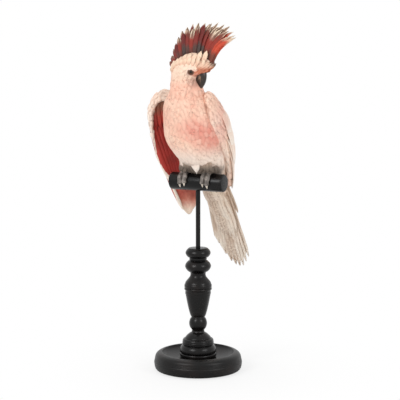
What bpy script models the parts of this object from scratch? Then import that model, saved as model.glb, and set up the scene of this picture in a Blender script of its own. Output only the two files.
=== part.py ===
"""Cockatoo figurine: a painted resin bird gripping a perch bar on a turned black stand.

Metres, +Z up. The origin is the middle of the felt's underside. The perch bar runs along X,
and the bird's breast faces -Y. Its right wing (-X) hangs open and its left wing is folded.
"""

import math

import bmesh
import bpy
from mathutils import Vector

MM = 0.001
GAP = 0.3 * MM  # clearance between two pieces that seat on each other
SEAM_WELD = 0.02 * MM

# Stand: felt, base disc and the screw under it
FELT_RADIUS = 59 * MM
FELT_THICKNESS = 1.5 * MM
BASE_RADIUS = 69 * MM
BASE_HEIGHT = 27 * MM  # underside to the top of the rim
BASE_SEAT_THICKNESS = 18 * MM  # at the middle, under the column
BASE_EDGE_ROUND = 8 * MM
BASE_FOOT_ROUND = 4 * MM
BASE_REED_DEPTH = 0.8 * MM
BASE_REED_HEIGHT = 2.2 * MM
RIM_TOP_RADIUS = 56 * MM
SEAT_RADIUS = 27 * MM
SCREW_SHANK_RADIUS = 2.4 * MM
SCREW_HEAD_RADIUS = 5.5 * MM
SCREW_HEAD_HEIGHT = 3.2 * MM
SCREW_LENGTH = 34 * MM  # below the head
SCREW_SLOT_WIDTH = 1.2 * MM
SCREW_SLOT_DEPTH = 1.4 * MM
COUNTERBORE_RADIUS = 8 * MM
COUNTERBORE_DEPTH = 5.5 * MM

# Column: mouldings from the bottom up, each with its own radius and height
FOOT_FLANGE_RADIUS = 24.6 * MM
FOOT_FLANGE_HEIGHT = 0.5 * MM
FOOT_GROOVE_RADIUS = 26.6 * MM
FOOT_GROOVE_HEIGHT = 0.9 * MM
FOOT_BEAD_RADIUS = 28.8 * MM
FOOT_BEAD_HEIGHT = 6.9 * MM
FOOT_SWELL_RADIUS = 28.4 * MM
FOOT_SWELL_HEIGHT = 10.9 * MM
FOOT_NECK_RADIUS = 23.8 * MM
BELL_RING_RADIUS = 24.5 * MM
BELL_RING_HEIGHT = 10.9 * MM
BELL_RADIUS = 20.4 * MM
BELL_HEIGHT = 9.6 * MM
BELL_FULLNESS = 1.25
LOW_NECK_RADIUS = 9.9 * MM
LOW_NECK_HEIGHT = 4.8 * MM
BALL_RADIUS = 14.6 * MM
BALL_HEIGHT = 18.4 * MM
BEAD_FULLNESS = 1.7
VASE_NECK_RADIUS = 11.2 * MM
VASE_RADIUS = 20 * MM
VASE_HEIGHT = 41 * MM
VASE_BULGE = 0.62  # the power by which its radius grows with its height
COLLAR_GROOVE_RADIUS = 19.4 * MM
COLLAR_GROOVE_HEIGHT = 3 * MM
COLLAR_RADIUS = 21.4 * MM
COLLAR_HEIGHT = 9 * MM
COLLAR_RING_RADIUS = 20.7 * MM
COLLAR_RING_HEIGHT = 3.6 * MM
SHOULDER_HEIGHT = 11.5 * MM
HIGH_NECK_RADIUS = 12.1 * MM
HIGH_NECK_HEIGHT = 4.1 * MM
LOW_BEAD_RADIUS = 20.2 * MM
LOW_BEAD_HEIGHT = 18.8 * MM
BEAD_NECK_RADIUS = 13.3 * MM
BEAD_NECK_HEIGHT = 3.9 * MM
TOP_BEAD_RADIUS = 19.5 * MM
TOP_BEAD_HEIGHT = 15 * MM
TOP_DISC_RADIUS = 15.4 * MM
TOP_DISC_EDGE = 0.9 * MM
COLUMN_SIDES = 18
BASE_SIDES = 32

# Stem rod and perch bar
ROD_RADIUS = 3.6 * MM
ROD_VISIBLE_LENGTH = 89.8 * MM
ROD_IN_COLUMN = 40 * MM
ROD_IN_PERCH = 12 * MM
PERCH_RADIUS = 13.7 * MM
PERCH_LENGTH = 92 * MM
PERCH_EDGE_ROUND = 3 * MM

# Bird: heights are above the top of the perch bar, and Y is from the bar's axis
HEAD_CENTRE = (3 * MM, -34 * MM, 158 * MM)
HEAD_TURN = math.radians(88)  # from straight ahead towards the bird's left
EYE_RADIUS = 4.2 * MM
EYE_PLACE = (14 * MM, 19.6 * MM, -1 * MM)  # forward, sideways and up from the head's centre
CREST_FEATHERS = 17
CREST_SHORTEST = 30 * MM  # from the head's centre to the tip, at the nape
CREST_LONGEST = 95 * MM
CREST_NAPE_RADIUS = 22 * MM  # where the roots sit, at the nape and over the brow
CREST_BROW_RADIUS = 40 * MM
CREST_WIDTH = 12.4 * MM  # of the longest blade
CREST_THICKNESS = 2.8 * MM
CREST_LEAN = 2.3 * MM  # of each blade's root to one side of the head's middle plane
CREST_STAGGER = 1.7  # degrees between the two rows of roots
CREST_BEND = 14  # degrees by which the front blade's middle stands above its ends
CROWN_TUFTS = 5  # short blades over the crest's roots, on each side
BROW_PLACE = (25 * MM, 9.5 * MM)  # forward and up from the head's centre
BROW_SIZES = (18.5 * MM, 15 * MM, 10 * MM)
TAIL_FEATHERS = 9
TAIL_LENGTH = 182 * MM  # of the longest feather, from its root under the rump
TAIL_SLOPE = math.radians(30)  # from the vertical
TAIL_ROOT = (2 * MM, 44 * MM, -8 * MM)
TAIL_SPREAD = 6 * MM  # between neighbouring tips
TAIL_FEATHER_WIDTH = 13 * MM
TAIL_FEATHER_THICKNESS = 3.4 * MM
TAIL_STEP = 2.4 * MM  # how much the second feather from the longest falls short
FOOT_SPACING = 39.5 * MM  # between the two feet, along the bar
TOE_SPREAD = 5 * MM  # of each toe to the side of its foot
TOE_RADIUS = 3.5 * MM
FRONT_TOE_START = 104  # degrees round the perch bar, from straight ahead up and over its top
OUTER_TOE_END = -37
INNER_TOE_END = -30
BACK_TOE_START = 76
BACK_TOE_END = 210
CLAW_TIP_RADIUS = 0.5 * MM
THIGH_RADIUS = 12 * MM
RIDGE_LIFT = 0.14  # of a wing's thickness, at the middle of each row of feathers

# Body sections down the bird's own curve, in mm: X, Y, height, half width, half depth
BODY_SECTIONS = (
    (-4, -35, 153, 9, 12),
    (-4, -36, 144, 18, 20),
    (-2, -38, 129, 25, 26),
    (0, -34, 111, 33, 31),
    (0, -23, 87, 43.5, 38),
    (0, -12, 62, 46, 41),
    (3, 0, 40, 40.5, 37),
    (5, 13, 18, 34, 27),
    (4, 31, -3, 27, 20),
    (3, 50, -23, 20, 12),
    (2, 62, -42, 14, 7),
    (2, 66, -50, 6, 3),
)

# Open right wing, in mm: leading edge X, Y, height; trailing edge X, Y, height; thickness; camber
OPEN_WING_SECTIONS = (
    (-46, -6, 124, -30, -4, 118, 5.0, 1),
    (-60, -8, 125, -28, -2, 112, 8.0, 3),
    (-73, -10, 118, -26, 3, 104, 8.5, 5),
    (-82, -11, 98, -25, 9, 94, 8.0, 7),
    (-85, -6, 74, -24, 17, 80, 7.0, 8),
    (-84, 4, 48, -23, 28, 50, 6.0, 8),
    (-78, 15, 16, -23, 37, 20, 5.2, 7),
    (-68, 22, -7, -25, 42, -10, 4.6, 6),
    (-57, 26, -31, -26, 42, -32, 4.0, 4),
    (-43, 29, -54, -25, 38, -54, 3.4, 2),
    (-35, 31, -62, -26, 36, -62, 2.4, 1),
)

# The open wing's upper arm, in mm: X, Y, height and radius
ARM_SECTIONS = (
    (-18, -14, 98, 9), (-36, -8, 112, 10), (-53, -7, 118, 8.5), (-66, -9, 114, 7), (-75, -11, 102, 6),
    (-80, -10, 86, 5), (-82, -5, 66, 4.2), (-82, 2, 46, 3.4), (-78, 11, 24, 2.4),
)
# Folded left wing, in the same order
FOLDED_WING_SECTIONS = (
    (32, -34, 125, 27, -20, 127, 9, 0),
    (36, -39, 114, 28, -8, 118, 17, 1),
    (40, -39, 93, 33, 10, 100, 20, 2),
    (42, -30, 71, 34, 24, 78, 20, 3),
    (43, -15, 50, 33, 36, 57, 19, 3),
    (43, 3, 31, 31, 43, 37, 17, 3),
    (41, 19, 14, 29, 48, 17, 14, 2),
    (37, 33, -5, 27, 53, -4, 10, 1),
    (32, 46, -18, 26, 57, -19, 6, 0),
    (29, 56, -28, 26, 60, -30, 3, 0),
)

# Beak sections from the face to the tip, in mm in the head's own frame:
# forward, up, half depth, half width
UPPER_BEAK_SECTIONS = (
    (14, 1, 8, 6.6),
    (18.5, -4, 10.4, 8.8),
    (20.4, -11, 9.8, 8.4),
    (21.2, -18, 7.4, 6.4),
    (20.2, -24.5, 4.2, 3.8),
    (17.8, -30, 1, 1),
)
LOWER_BEAK_SECTIONS = (
    (4, -11, 5, 6),
    (8, -17, 6, 7),
    (12, -23, 4.6, 5.4),
    (14, -27.5, 1.4, 2),
)

# Head sections from the crown down, in mm in the head's own frame: up, forward, half length, half width
HEAD_SECTIONS = (
    (27.5, 4, 5, 4),
    (25.5, 4, 14, 10),
    (20, 3.5, 23, 17.5),
    (12, 3, 28.5, 22.5),
    (5, 2, 30, 24.5),
    (-1, 0, 27.5, 24.5),
    (-7, -3.5, 23.5, 24),
    (-14, -7, 21, 23),
    (-22, -8, 21.5, 23),
    (-31, -6, 24, 24.5),
    (-38, -4, 24, 23),
    (-44, -4, 18, 18),
)

# Where the pieces stack
BASE_BOTTOM = FELT_THICKNESS + GAP
BASE_SEAT = BASE_BOTTOM + BASE_SEAT_THICKNESS
COLUMN_BOTTOM = BASE_SEAT + GAP
COLUMN_HEIGHT = (
    FOOT_FLANGE_HEIGHT + FOOT_BEAD_HEIGHT + FOOT_GROOVE_HEIGHT + FOOT_SWELL_HEIGHT
    + BELL_RING_HEIGHT + BELL_HEIGHT + LOW_NECK_HEIGHT + BALL_HEIGHT + VASE_HEIGHT
    + COLLAR_GROOVE_HEIGHT + COLLAR_HEIGHT + COLLAR_RING_HEIGHT + SHOULDER_HEIGHT
    + HIGH_NECK_HEIGHT + LOW_BEAD_HEIGHT + BEAD_NECK_HEIGHT + TOP_BEAD_HEIGHT
)
COLUMN_TOP = COLUMN_BOTTOM + COLUMN_HEIGHT
PERCH_AXIS = COLUMN_TOP + ROD_VISIBLE_LENGTH + PERCH_RADIUS
PERCH_TOP = PERCH_AXIS + PERCH_RADIUS


# Scene and materials


def clear_scene():
    for obj in list(bpy.data.objects):
        bpy.data.objects.remove(obj)


def collection(name):
    made = bpy.data.collections.new(name)
    bpy.context.scene.collection.children.link(made)
    return made


def material(name, colour, roughness, metallic=0.0):
    made = bpy.data.materials.new(name)
    made.use_nodes = True
    shader = made.node_tree.nodes["Principled BSDF"]
    shader.inputs["Base Color"].default_value = (*colour, 1.0)
    shader.inputs["Roughness"].default_value = roughness
    shader.inputs["Metallic"].default_value = metallic
    return made


def add_object(name, mesh, group, finish=None):
    obj = bpy.data.objects.new(name, mesh)
    group.objects.link(obj)
    if finish:
        mesh.materials.append(finish)
    return obj


def hide_helper(obj):
    obj.hide_render = True
    obj.display_type = "WIRE"
    return obj


# Turned pieces


def bead(neck, peak, bottom, height, steps, fullness=2.4):
    """Points of a convex ring that leaves its neck, swells to its peak and comes back."""
    points = []
    for i in range(steps + 1):
        t = 2 * i / steps - 1
        swell = max(0.0, 1 - abs(t) ** fullness) ** (1 / fullness)
        points.append((neck + (peak - neck) * swell, bottom + height * (t + 1) / 2))
    return points


def quarter(start, end, steps, convex):
    """Points of a quarter of an ellipse between two points, leaving the first one upright if convex."""
    points = []
    for i in range(steps + 1):
        a = math.pi / 2 * i / steps
        along, rise = (1 - math.cos(a), math.sin(a)) if convex else (math.sin(a), 1 - math.cos(a))
        points.append((start[0] + (end[0] - start[0]) * along, start[1] + (end[1] - start[1]) * rise))
    return points


def turned(name, profile, sides, group, finish):
    """A solid of revolution about Z, from a profile that ends on the axis or closes as a ring."""
    ring = profile[0] == profile[-1]
    points = profile[:-1] if ring else profile
    edges = [(i, i + 1) for i in range(len(points) - 1)]
    if ring:
        edges.append((len(points) - 1, 0))
    mesh = bpy.data.meshes.new(name)
    mesh.from_pydata([(r, 0, z) for r, z in points], edges, [])
    obj = add_object(name, mesh, group, finish)
    screw = obj.modifiers.new("turn", "SCREW")
    screw.steps = screw.render_steps = sides
    screw.use_merge_vertices = True
    screw.merge_threshold = 0.00001
    screw.use_normal_calculate = True
    return obj


def base_profile():
    """The disc's section, from the seat's middle out over the rim and back under to the screw hole."""
    hole = SCREW_SHANK_RADIUS + GAP
    rim_top = BASE_BOTTOM + BASE_HEIGHT
    under = BASE_BOTTOM
    reed_top = rim_top - BASE_EDGE_ROUND
    widest = under + BASE_HEIGHT * 0.45
    points = [(hole, BASE_SEAT), (SEAT_RADIUS, BASE_SEAT)]
    points += quarter((SEAT_RADIUS, BASE_SEAT), (RIM_TOP_RADIUS, rim_top), 3, False)[1:]
    shoulder = BASE_RADIUS - BASE_REED_DEPTH * 2
    points += quarter((shoulder, reed_top), (RIM_TOP_RADIUS, rim_top), 3, True)[-2::-1]
    for step in (0, 1):
        top = reed_top - step * BASE_REED_HEIGHT
        edge = shoulder + step * BASE_REED_DEPTH
        points.append((edge - BASE_REED_DEPTH, top - BASE_REED_HEIGHT * 0.2))
        points.append((edge + BASE_REED_DEPTH * 0.6, top - BASE_REED_HEIGHT * 0.5))
    points.append((BASE_RADIUS, widest))
    foot = (BASE_RADIUS - BASE_FOOT_ROUND, under)
    points += quarter((BASE_RADIUS, widest), foot, 3, True)[1:]
    points += [(COUNTERBORE_RADIUS, under), (COUNTERBORE_RADIUS, under + COUNTERBORE_DEPTH)]
    points += [(hole, under + COUNTERBORE_DEPTH), (hole, BASE_SEAT)]
    return points


def column_profile():
    """The column's section, from the rod hole's floor up its wall, down the outside and up the pilot hole."""
    z = COLUMN_BOTTOM
    outside = [(FOOT_FLANGE_RADIUS, z)]
    z += FOOT_FLANGE_HEIGHT
    outside += bead(FOOT_GROOVE_RADIUS, FOOT_BEAD_RADIUS, z, FOOT_BEAD_HEIGHT, 4)
    z += FOOT_BEAD_HEIGHT + FOOT_GROOVE_HEIGHT
    swell_top = (FOOT_NECK_RADIUS, z + FOOT_SWELL_HEIGHT)
    outside += quarter((FOOT_SWELL_RADIUS, z), swell_top, 3, True)
    z += FOOT_SWELL_HEIGHT
    ring_top = (BELL_RADIUS, z + BELL_RING_HEIGHT)
    outside.append((BELL_RING_RADIUS, z + BELL_RING_HEIGHT * 0.18))
    outside += quarter((BELL_RING_RADIUS, z + BELL_RING_HEIGHT * 0.42), ring_top, 3, True)
    z += BELL_RING_HEIGHT
    outside += bead(LOW_NECK_RADIUS, BELL_RADIUS, z - BELL_HEIGHT, 2 * BELL_HEIGHT, 6, BELL_FULLNESS)[4:]
    z += BELL_HEIGHT + LOW_NECK_HEIGHT
    outside += bead(LOW_NECK_RADIUS, BALL_RADIUS, z, BALL_HEIGHT, 6, BEAD_FULLNESS)[:-1]
    z += BALL_HEIGHT
    for i in range(5):
        t = i / 4
        radius = VASE_NECK_RADIUS + (VASE_RADIUS - VASE_NECK_RADIUS) * t**VASE_BULGE
        outside.append((radius, z + VASE_HEIGHT * t))
    z += VASE_HEIGHT
    outside.append((COLLAR_GROOVE_RADIUS, z + COLLAR_GROOVE_HEIGHT * 0.5))
    z += COLLAR_GROOVE_HEIGHT
    outside += bead(VASE_RADIUS, COLLAR_RADIUS, z, COLLAR_HEIGHT, 3)
    z += COLLAR_HEIGHT
    outside += bead(VASE_RADIUS, COLLAR_RING_RADIUS, z, COLLAR_RING_HEIGHT, 2)[1:]
    z += COLLAR_RING_HEIGHT
    half_drop = (VASE_RADIUS - HIGH_NECK_RADIUS) / 2
    middle = (VASE_RADIUS - half_drop, z + SHOULDER_HEIGHT * 0.44)
    outside += quarter((VASE_RADIUS, z), middle, 2, True)[1:]
    outside += quarter(middle, (HIGH_NECK_RADIUS, z + SHOULDER_HEIGHT), 2, False)[1:]
    z += SHOULDER_HEIGHT + HIGH_NECK_HEIGHT
    outside += bead(HIGH_NECK_RADIUS, LOW_BEAD_RADIUS, z, LOW_BEAD_HEIGHT, 6, BEAD_FULLNESS)[:-1]
    z += LOW_BEAD_HEIGHT
    outside.append((BEAD_NECK_RADIUS, z))
    z += BEAD_NECK_HEIGHT
    outside += bead(BEAD_NECK_RADIUS, TOP_BEAD_RADIUS, z, TOP_BEAD_HEIGHT, 6, BEAD_FULLNESS)[:-1]
    z += TOP_BEAD_HEIGHT
    outside += [(TOP_DISC_RADIUS, z - TOP_DISC_EDGE), (TOP_DISC_RADIUS - TOP_DISC_EDGE, z)]
    rod_hole = ROD_RADIUS + GAP
    pilot = SCREW_SHANK_RADIUS + GAP
    pilot_top = BASE_BOTTOM + COUNTERBORE_DEPTH + SCREW_LENGTH + 2 * GAP
    bottom_up = [(0, pilot_top), (pilot, pilot_top), (pilot, COLUMN_BOTTOM)]
    top_down = [(rod_hole, COLUMN_TOP), (rod_hole, COLUMN_TOP - ROD_IN_COLUMN - GAP)]
    top_down.append((0, COLUMN_TOP - ROD_IN_COLUMN - GAP))
    return top_down[::-1] + outside[::-1] + bottom_up[::-1]


# Lofted forms


def spline(a, b, c, d, t):
    """A Catmull-Rom value between b and c."""
    bend = 2 * a - 5 * b + 4 * c - d
    return b + 0.5 * t * (c - a + t * (bend + t * (3 * (b - c) + d - a)))


def smooth_rows(rows, count):
    """Rows of numbers resampled along a smooth curve through them."""
    last = len(rows) - 1
    out = []
    for i in range(count):
        at = last * i / (count - 1)
        k = min(int(at), last - 1)
        near = (rows[max(k - 1, 0)], rows[k], rows[k + 1], rows[min(k + 2, last)])
        out.append([spline(*values, at - k) for values in zip(*near)])
    return out


def loft(name, sections, sides, group, ridges=0):
    """A closed form through sections of (centre, half width vector, half depth vector, camber vector)."""
    mesh = bmesh.new()
    rings = []
    for centre, across, deep, camber in sections:
        ring = []
        for i in range(sides):
            a = 2 * math.pi * i / sides
            c = math.cos(a)
            s = math.sin(a) * (1 + RIDGE_LIFT * math.cos(a * ridges * 2) * bool(ridges))
            ring.append(mesh.verts.new(centre + across * c + deep * s + camber * (1 - c * c)))
        rings.append(ring)
    for one, two in zip(rings, rings[1:]):
        for i in range(sides):
            j = (i + 1) % sides
            mesh.faces.new((one[i], one[j], two[j], two[i]))
    mesh.faces.new(rings[0][::-1])
    mesh.faces.new(rings[-1])
    bmesh.ops.recalc_face_normals(mesh, faces=mesh.faces)
    data = bpy.data.meshes.new(name)
    mesh.to_mesh(data)
    mesh.free()
    return add_object(name, data, group)


def tangents(points):
    """The direction of travel at each point of a line."""
    ends = [points[0]] + list(points) + [points[-1]]
    return [(b - a).normalized() for a, b in zip(ends, ends[2:])]


def tube(name, points, radii, sides, group, side=Vector((1, 0, 0)), flat=1.0):
    """A form along a line of points, with a radius at each, flattened across its side vector."""
    sections = []
    for point, way, radius in zip(points, tangents(points), radii):
        across = (side - way * side.dot(way)).normalized()
        sections.append((point, across * radius, way.cross(across) * radius * flat, Vector()))
    return loft(name, sections, sides, group)


def ellipsoid(name, centre, sizes, turn, group, columns=18, rows=12):
    """A UV sphere scaled to half sizes, turned about Z and moved to its centre."""
    mesh = bmesh.new()
    bmesh.ops.create_uvsphere(mesh, u_segments=columns, v_segments=rows, radius=1)
    bmesh.ops.scale(mesh, vec=sizes, verts=mesh.verts)
    data = bpy.data.meshes.new(name)
    mesh.to_mesh(data)
    mesh.free()
    obj = add_object(name, data, group)
    obj.rotation_euler.z = turn
    obj.location = centre
    return obj


# Feathers

FEATHER_OUTLINE = ((0.0, 0.55), (0.3, 0.9), (0.65, 1.0), (0.86, 0.8), (0.96, 0.45), (1.0, 0.12))
SPIKE_OUTLINE = ((0.0, 0.6), (0.4, 1.0), (0.7, 0.85), (0.88, 0.42), (1.0, 0.08))


def feather(name, root, control, tip, face, width, thickness, group, outline=FEATHER_OUTLINE):
    """A blade along a curve from root to tip, ridged where its shaft lies, flat towards the face vector."""
    points = []
    for t, _ in outline:
        points.append(root * (1 - t) ** 2 + control * 2 * t * (1 - t) + tip * t**2)
    sections = []
    for (t, share), point, way in zip(outline, points, tangents(points)):
        across = way.cross(face).normalized()
        deep = across.cross(way)
        half_thick = thickness / 2 * (1 - 0.55 * t)
        sections.append((point, across * width / 2 * share, deep * half_thick, Vector()))
    return loft(name, sections, 4, group)


# The bird's own forms


def on_bird(x, y, up):
    """A point of the bird, given in mm above the perch bar's top."""
    return Vector((x * MM, y * MM, PERCH_TOP + up * MM))


def body(group):
    rows = smooth_rows(BODY_SECTIONS, 18)
    points = [on_bird(*row[0:3]) for row in rows]
    sections = []
    for point, way, row in zip(points, tangents(points), rows):
        across = Vector((1, 0, 0)) * row[3] * MM
        sections.append((point, across, way.cross(Vector((1, 0, 0))) * row[4] * MM, Vector()))
    return loft("cockatoo", sections, 22, group)


def wing(name, rows, count, ridges, group):
    """A wing blade between its leading and trailing edges, with feather ridges along it."""
    rows = smooth_rows(rows, count)
    centres = [on_bird(*[(a + b) / 2 for a, b in zip(row[0:3], row[3:6])]) for row in rows]
    sections = []
    for centre, way, row in zip(centres, tangents(centres), rows):
        half_chord = (Vector(row[3:6]) - Vector(row[0:3])) * MM / 2
        outward = half_chord.cross(way).normalized()
        if outward.x * centre.x < 0:
            outward.negate()
        sections.append((centre, half_chord, outward * row[6] * MM / 2, outward * row[7] * MM))
    return loft(name, sections, 4 * ridges, group, ridges)


def wing_tips(group):
    """The tips of the flight feathers, past the ends and edges of both wing blades."""
    open_tips = ((-34, 31, -67), (-28, 35, -66), (-24, 38, -58), (-22, 40, -47))
    for i, tip in enumerate(open_tips):
        root = on_bird(-62 + 11 * i, 26 + 5 * i, 6)
        end = on_bird(*tip)
        middle = (root + end) / 2 + Vector((-3 * MM, 1 * MM, 0))
        feather(f"open_tip_{i}", root, middle, end, Vector((0.45, -0.89, 0)), 12 * MM, 4.2 * MM, group)
    for i in range(6):
        t = i / 5
        root = on_bird(41 - 7 * t, 6 + 27 * t, 76 - 50 * t)
        end = on_bird(46 - 17 * t, 34 + 28 * t, 32 - 66 * t)
        middle = (root + end) / 2 + Vector((6 * MM, 2 * MM, 0))
        feather(f"folded_tip_{i}", root, middle, end, Vector((0.85, 0.45, 0.1)), 15 * MM, 4 * MM, group)


def arm(group):
    """The rounded upper arm that carries the open wing from the shoulder."""
    points = [on_bird(*row[:3]) for row in ARM_SECTIONS]
    radii = [row[3] * MM for row in ARM_SECTIONS]
    return tube("arm", points, radii, 8, group, side=Vector((0, 1, 0)))


def head_axes():
    forward = Vector((math.sin(HEAD_TURN), -math.cos(HEAD_TURN), 0))
    return forward, forward.cross(Vector((0, 0, 1)))


def on_head(forward_mm, up_mm, side_mm=0.0):
    """A point of the head, in mm forward, up and towards the bird's right from its centre."""
    forward, right = head_axes()
    centre = Vector(HEAD_CENTRE) + Vector((0, 0, PERCH_TOP))
    return centre + (forward * forward_mm + right * side_mm + Vector((0, 0, up_mm))) * MM


def head(group):
    forward, right = head_axes()
    sections = []
    for up, ahead, half_length, half_width in HEAD_SECTIONS:
        sections.append((on_head(ahead, up), forward * half_length * MM, right * half_width * MM, Vector()))
    loft("head", sections, 20, group)
    ahead, up = BROW_PLACE
    ellipsoid("brow", on_head(ahead / MM, up / MM), BROW_SIZES, HEAD_TURN - math.pi / 2, group, 14, 8)
    ahead, aside, up = EYE_PLACE
    for side in (-1, 1):
        place = on_head(ahead / MM, up / MM, side * aside / MM)
        ellipsoid(f"eye_{side}", place, (EYE_RADIUS,) * 3, HEAD_TURN, group, 10, 6)
    for name, rows in (("upper_beak", UPPER_BEAK_SECTIONS), ("lower_beak", LOWER_BEAK_SECTIONS)):
        points = [on_head(ahead, up) for ahead, up, _, _ in rows]
        sections = []
        for point, way, (_, _, depth, width) in zip(points, tangents(points), rows):
            sections.append((point, right.cross(way) * depth * MM, right * width * MM, Vector()))
        loft(name, sections, 12, group)


def in_plane(degrees, reach, aside):
    """A point at an angle above straight forward from the head's centre, and off its middle plane."""
    angle = math.radians(degrees)
    return on_head(math.cos(angle) * reach / MM, math.sin(angle) * reach / MM, aside / MM)


def crest(group):
    """A fan of blades in the head's own middle plane, long over the brow and short at the nape."""
    _, right = head_axes()
    for i in range(CREST_FEATHERS):
        share = i / (CREST_FEATHERS - 1)
        reach = CREST_SHORTEST + (CREST_LONGEST - CREST_SHORTEST) * min(1, share * 1.1) ** 1.5
        reach *= 1 - 0.05 * (i % 2)
        tip_angle = 173 - 141 * share
        root_angle = 160 - 142 * share + CREST_STAGGER * (i % 2)
        root_reach = CREST_NAPE_RADIUS + (CREST_BROW_RADIUS - CREST_NAPE_RADIUS) * share**4
        bend = (tip_angle + root_angle) / 2 + CREST_BEND * share**2
        bend_reach = (reach + root_reach) / 2 * (1 - 0.15 * share**2)
        lean = CREST_LEAN if i % 2 else -CREST_LEAN
        places = ((root_angle, root_reach, lean), (bend, bend_reach, lean), (tip_angle, reach, lean * 0.4))
        root, middle, tip = [in_plane(*place) for place in places]
        width = CREST_WIDTH * (0.62 + 0.38 * share)
        feather(f"crest_{i}", root, middle, tip, right, width, CREST_THICKNESS, group, SPIKE_OUTLINE)
    for i in range(CROWN_TUFTS):
        share = i / (CROWN_TUFTS - 1)
        for side in (-1, 1):
            root = in_plane(150 - 132 * share, (14 + 10 * share) * MM, side * 13 * MM)
            tip = in_plane(142 - 100 * share, (28 + 17 * share**2) * MM, side * 8 * MM)
            middle = (root + tip) / 2 + right * side * 5 * MM
            feather(f"tuft_{side}_{i}", root, middle, tip, right, 13 * MM, 5 * MM, group)


def tail(group):
    """Nine long feathers, the longest a little to the bird's left, each under the one before it."""
    down = Vector((0, math.sin(TAIL_SLOPE), -math.cos(TAIL_SLOPE)))
    back = Vector((0, math.cos(TAIL_SLOPE), math.sin(TAIL_SLOPE)))
    half = TAIL_FEATHERS // 2
    for i in range(-half, half + 1):
        short = TAIL_STEP * (i - 1) ** 2
        start = Vector(TAIL_ROOT) + Vector((i * TAIL_SPREAD * 0.55, 0, PERCH_TOP))
        start -= back * abs(i) * 0.7 * MM
        end = start + down * (TAIL_LENGTH - short) + Vector((i * TAIL_SPREAD * 0.45, 0, 0))
        middle = (start + end) / 2 + back * 3 * MM
        face = back + Vector((0.12 * i, 0, 0))
        sizes = (TAIL_FEATHER_WIDTH, TAIL_FEATHER_THICKNESS)
        feather(f"tail_{i + half}", start, middle, end, face, *sizes, group)


def toe(name, foot_x, spread, start, end, group):
    """One toe bent round the perch bar, from its knuckle over the top to its claw."""
    steps = 6
    points = []
    radii = []
    for i in range(steps + 1):
        t = i / steps
        angle = math.radians(start + (end - start) * t)
        claw = max(0.0, (t - 0.7) / 0.3)
        radius = TOE_RADIUS * (1 + 0.12 * math.cos(t * 3 * math.pi)) * (1 - claw) + CLAW_TIP_RADIUS * claw
        reach = PERCH_RADIUS + GAP + TOE_RADIUS * 0.55 + 1.2 * MM * claw
        x = foot_x + spread * min(1.0, t * 2.2)
        points.append(Vector((x, -reach * math.cos(angle), PERCH_AXIS + reach * math.sin(angle))))
        radii.append(radius)
    return tube(name, points, radii, 7, group)


def legs(group):
    for side in (-1, 1):
        foot_x = side * FOOT_SPACING / 2
        thigh = Vector((foot_x * 0.95, 1 * MM, PERCH_TOP + 14 * MM))
        sizes = (THIGH_RADIUS, THIGH_RADIUS * 1.1, THIGH_RADIUS * 1.2)
        ellipsoid(f"thigh_{side}", thigh, sizes, 0, group, 10, 6)
        ankle = [Vector((foot_x, 1 * MM, PERCH_TOP + up * MM)) for up in (12, 4, -1)]
        tube(f"ankle_{side}", ankle, [7 * MM, 6 * MM, 5.5 * MM], 10, group)
        for which, spread in enumerate((-TOE_SPREAD, TOE_SPREAD)):
            lowest = OUTER_TOE_END if spread * side > 0 else INNER_TOE_END
            toe(f"front_toe_{side}_{which}", foot_x, spread, FRONT_TOE_START, lowest, group)
            reach = (BACK_TOE_START, BACK_TOE_END)
            toe(f"back_toe_{side}_{which}", foot_x, spread * 0.9, *reach, group)


def bird(group, helpers, finish):
    """All the bird's forms made one solid, and cleared from the perch bar that it grips."""
    forms = bpy.data.collections.new("bird_forms")
    helpers.children.link(forms)
    whole = body(group)
    whole.data.materials.append(finish)
    wing("open_wing", OPEN_WING_SECTIONS, 14, 5, forms)
    wing("folded_wing", FOLDED_WING_SECTIONS, 13, 5, forms)
    arm(forms)
    wing_tips(forms)
    head(forms)
    crest(forms)
    tail(forms)
    legs(forms)
    for form in forms.objects:
        hide_helper(form)
    join = whole.modifiers.new("join forms", "BOOLEAN")
    join.operation = "UNION"
    join.operand_type = "COLLECTION"
    join.collection = forms
    weld = whole.modifiers.new("weld the seams", "WELD")
    weld.merge_threshold = SEAM_WELD
    cutter = bar_along_x("perch_clearance", PERCH_RADIUS + GAP, PERCH_LENGTH * 1.3, 40, helpers)
    hide_helper(cutter)
    cut = whole.modifiers.new("clear the perch", "BOOLEAN")
    cut.operation = "DIFFERENCE"
    cut.object = cutter
    cut.use_self = True
    return whole


# Rods, bar, felt and screw


def cylinder(name, radius, bottom, top, sides, group, finish=None):
    """An upright cylinder on the Z axis between two heights."""
    mesh = bmesh.new()
    bmesh.ops.create_cone(
        mesh, cap_ends=True, segments=sides, radius1=radius, radius2=radius, depth=top - bottom
    )
    bmesh.ops.translate(mesh, vec=(0, 0, (bottom + top) / 2), verts=mesh.verts)
    data = bpy.data.meshes.new(name)
    mesh.to_mesh(data)
    mesh.free()
    return add_object(name, data, group, finish)


def bar_along_x(name, radius, length, sides, group, finish=None):
    """A cylinder along X, centred over the origin at the perch bar's height."""
    obj = cylinder(name, radius, -length / 2, length / 2, sides, group, finish)
    obj.rotation_euler.y = math.pi / 2
    obj.location.z = PERCH_AXIS
    return obj


def perch_bar(group, helpers, finish):
    bar = bar_along_x("perch_bar", PERCH_RADIUS, PERCH_LENGTH, 28, group, finish)
    edge = bar.modifiers.new("rounded ends", "BEVEL")
    edge.width = PERCH_EDGE_ROUND
    edge.segments = 2
    edge.limit_method = "ANGLE"
    edge.angle_limit = math.radians(60)
    bottom = PERCH_AXIS - PERCH_RADIUS
    top = bottom + ROD_IN_PERCH + GAP
    hole = cylinder("rod_hole_cutter", ROD_RADIUS + GAP, bottom - 5 * MM, top, 20, helpers)
    hide_helper(hole)
    drill = bar.modifiers.new("rod hole", "BOOLEAN")
    drill.operation = "DIFFERENCE"
    drill.object = hole
    return bar


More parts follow.
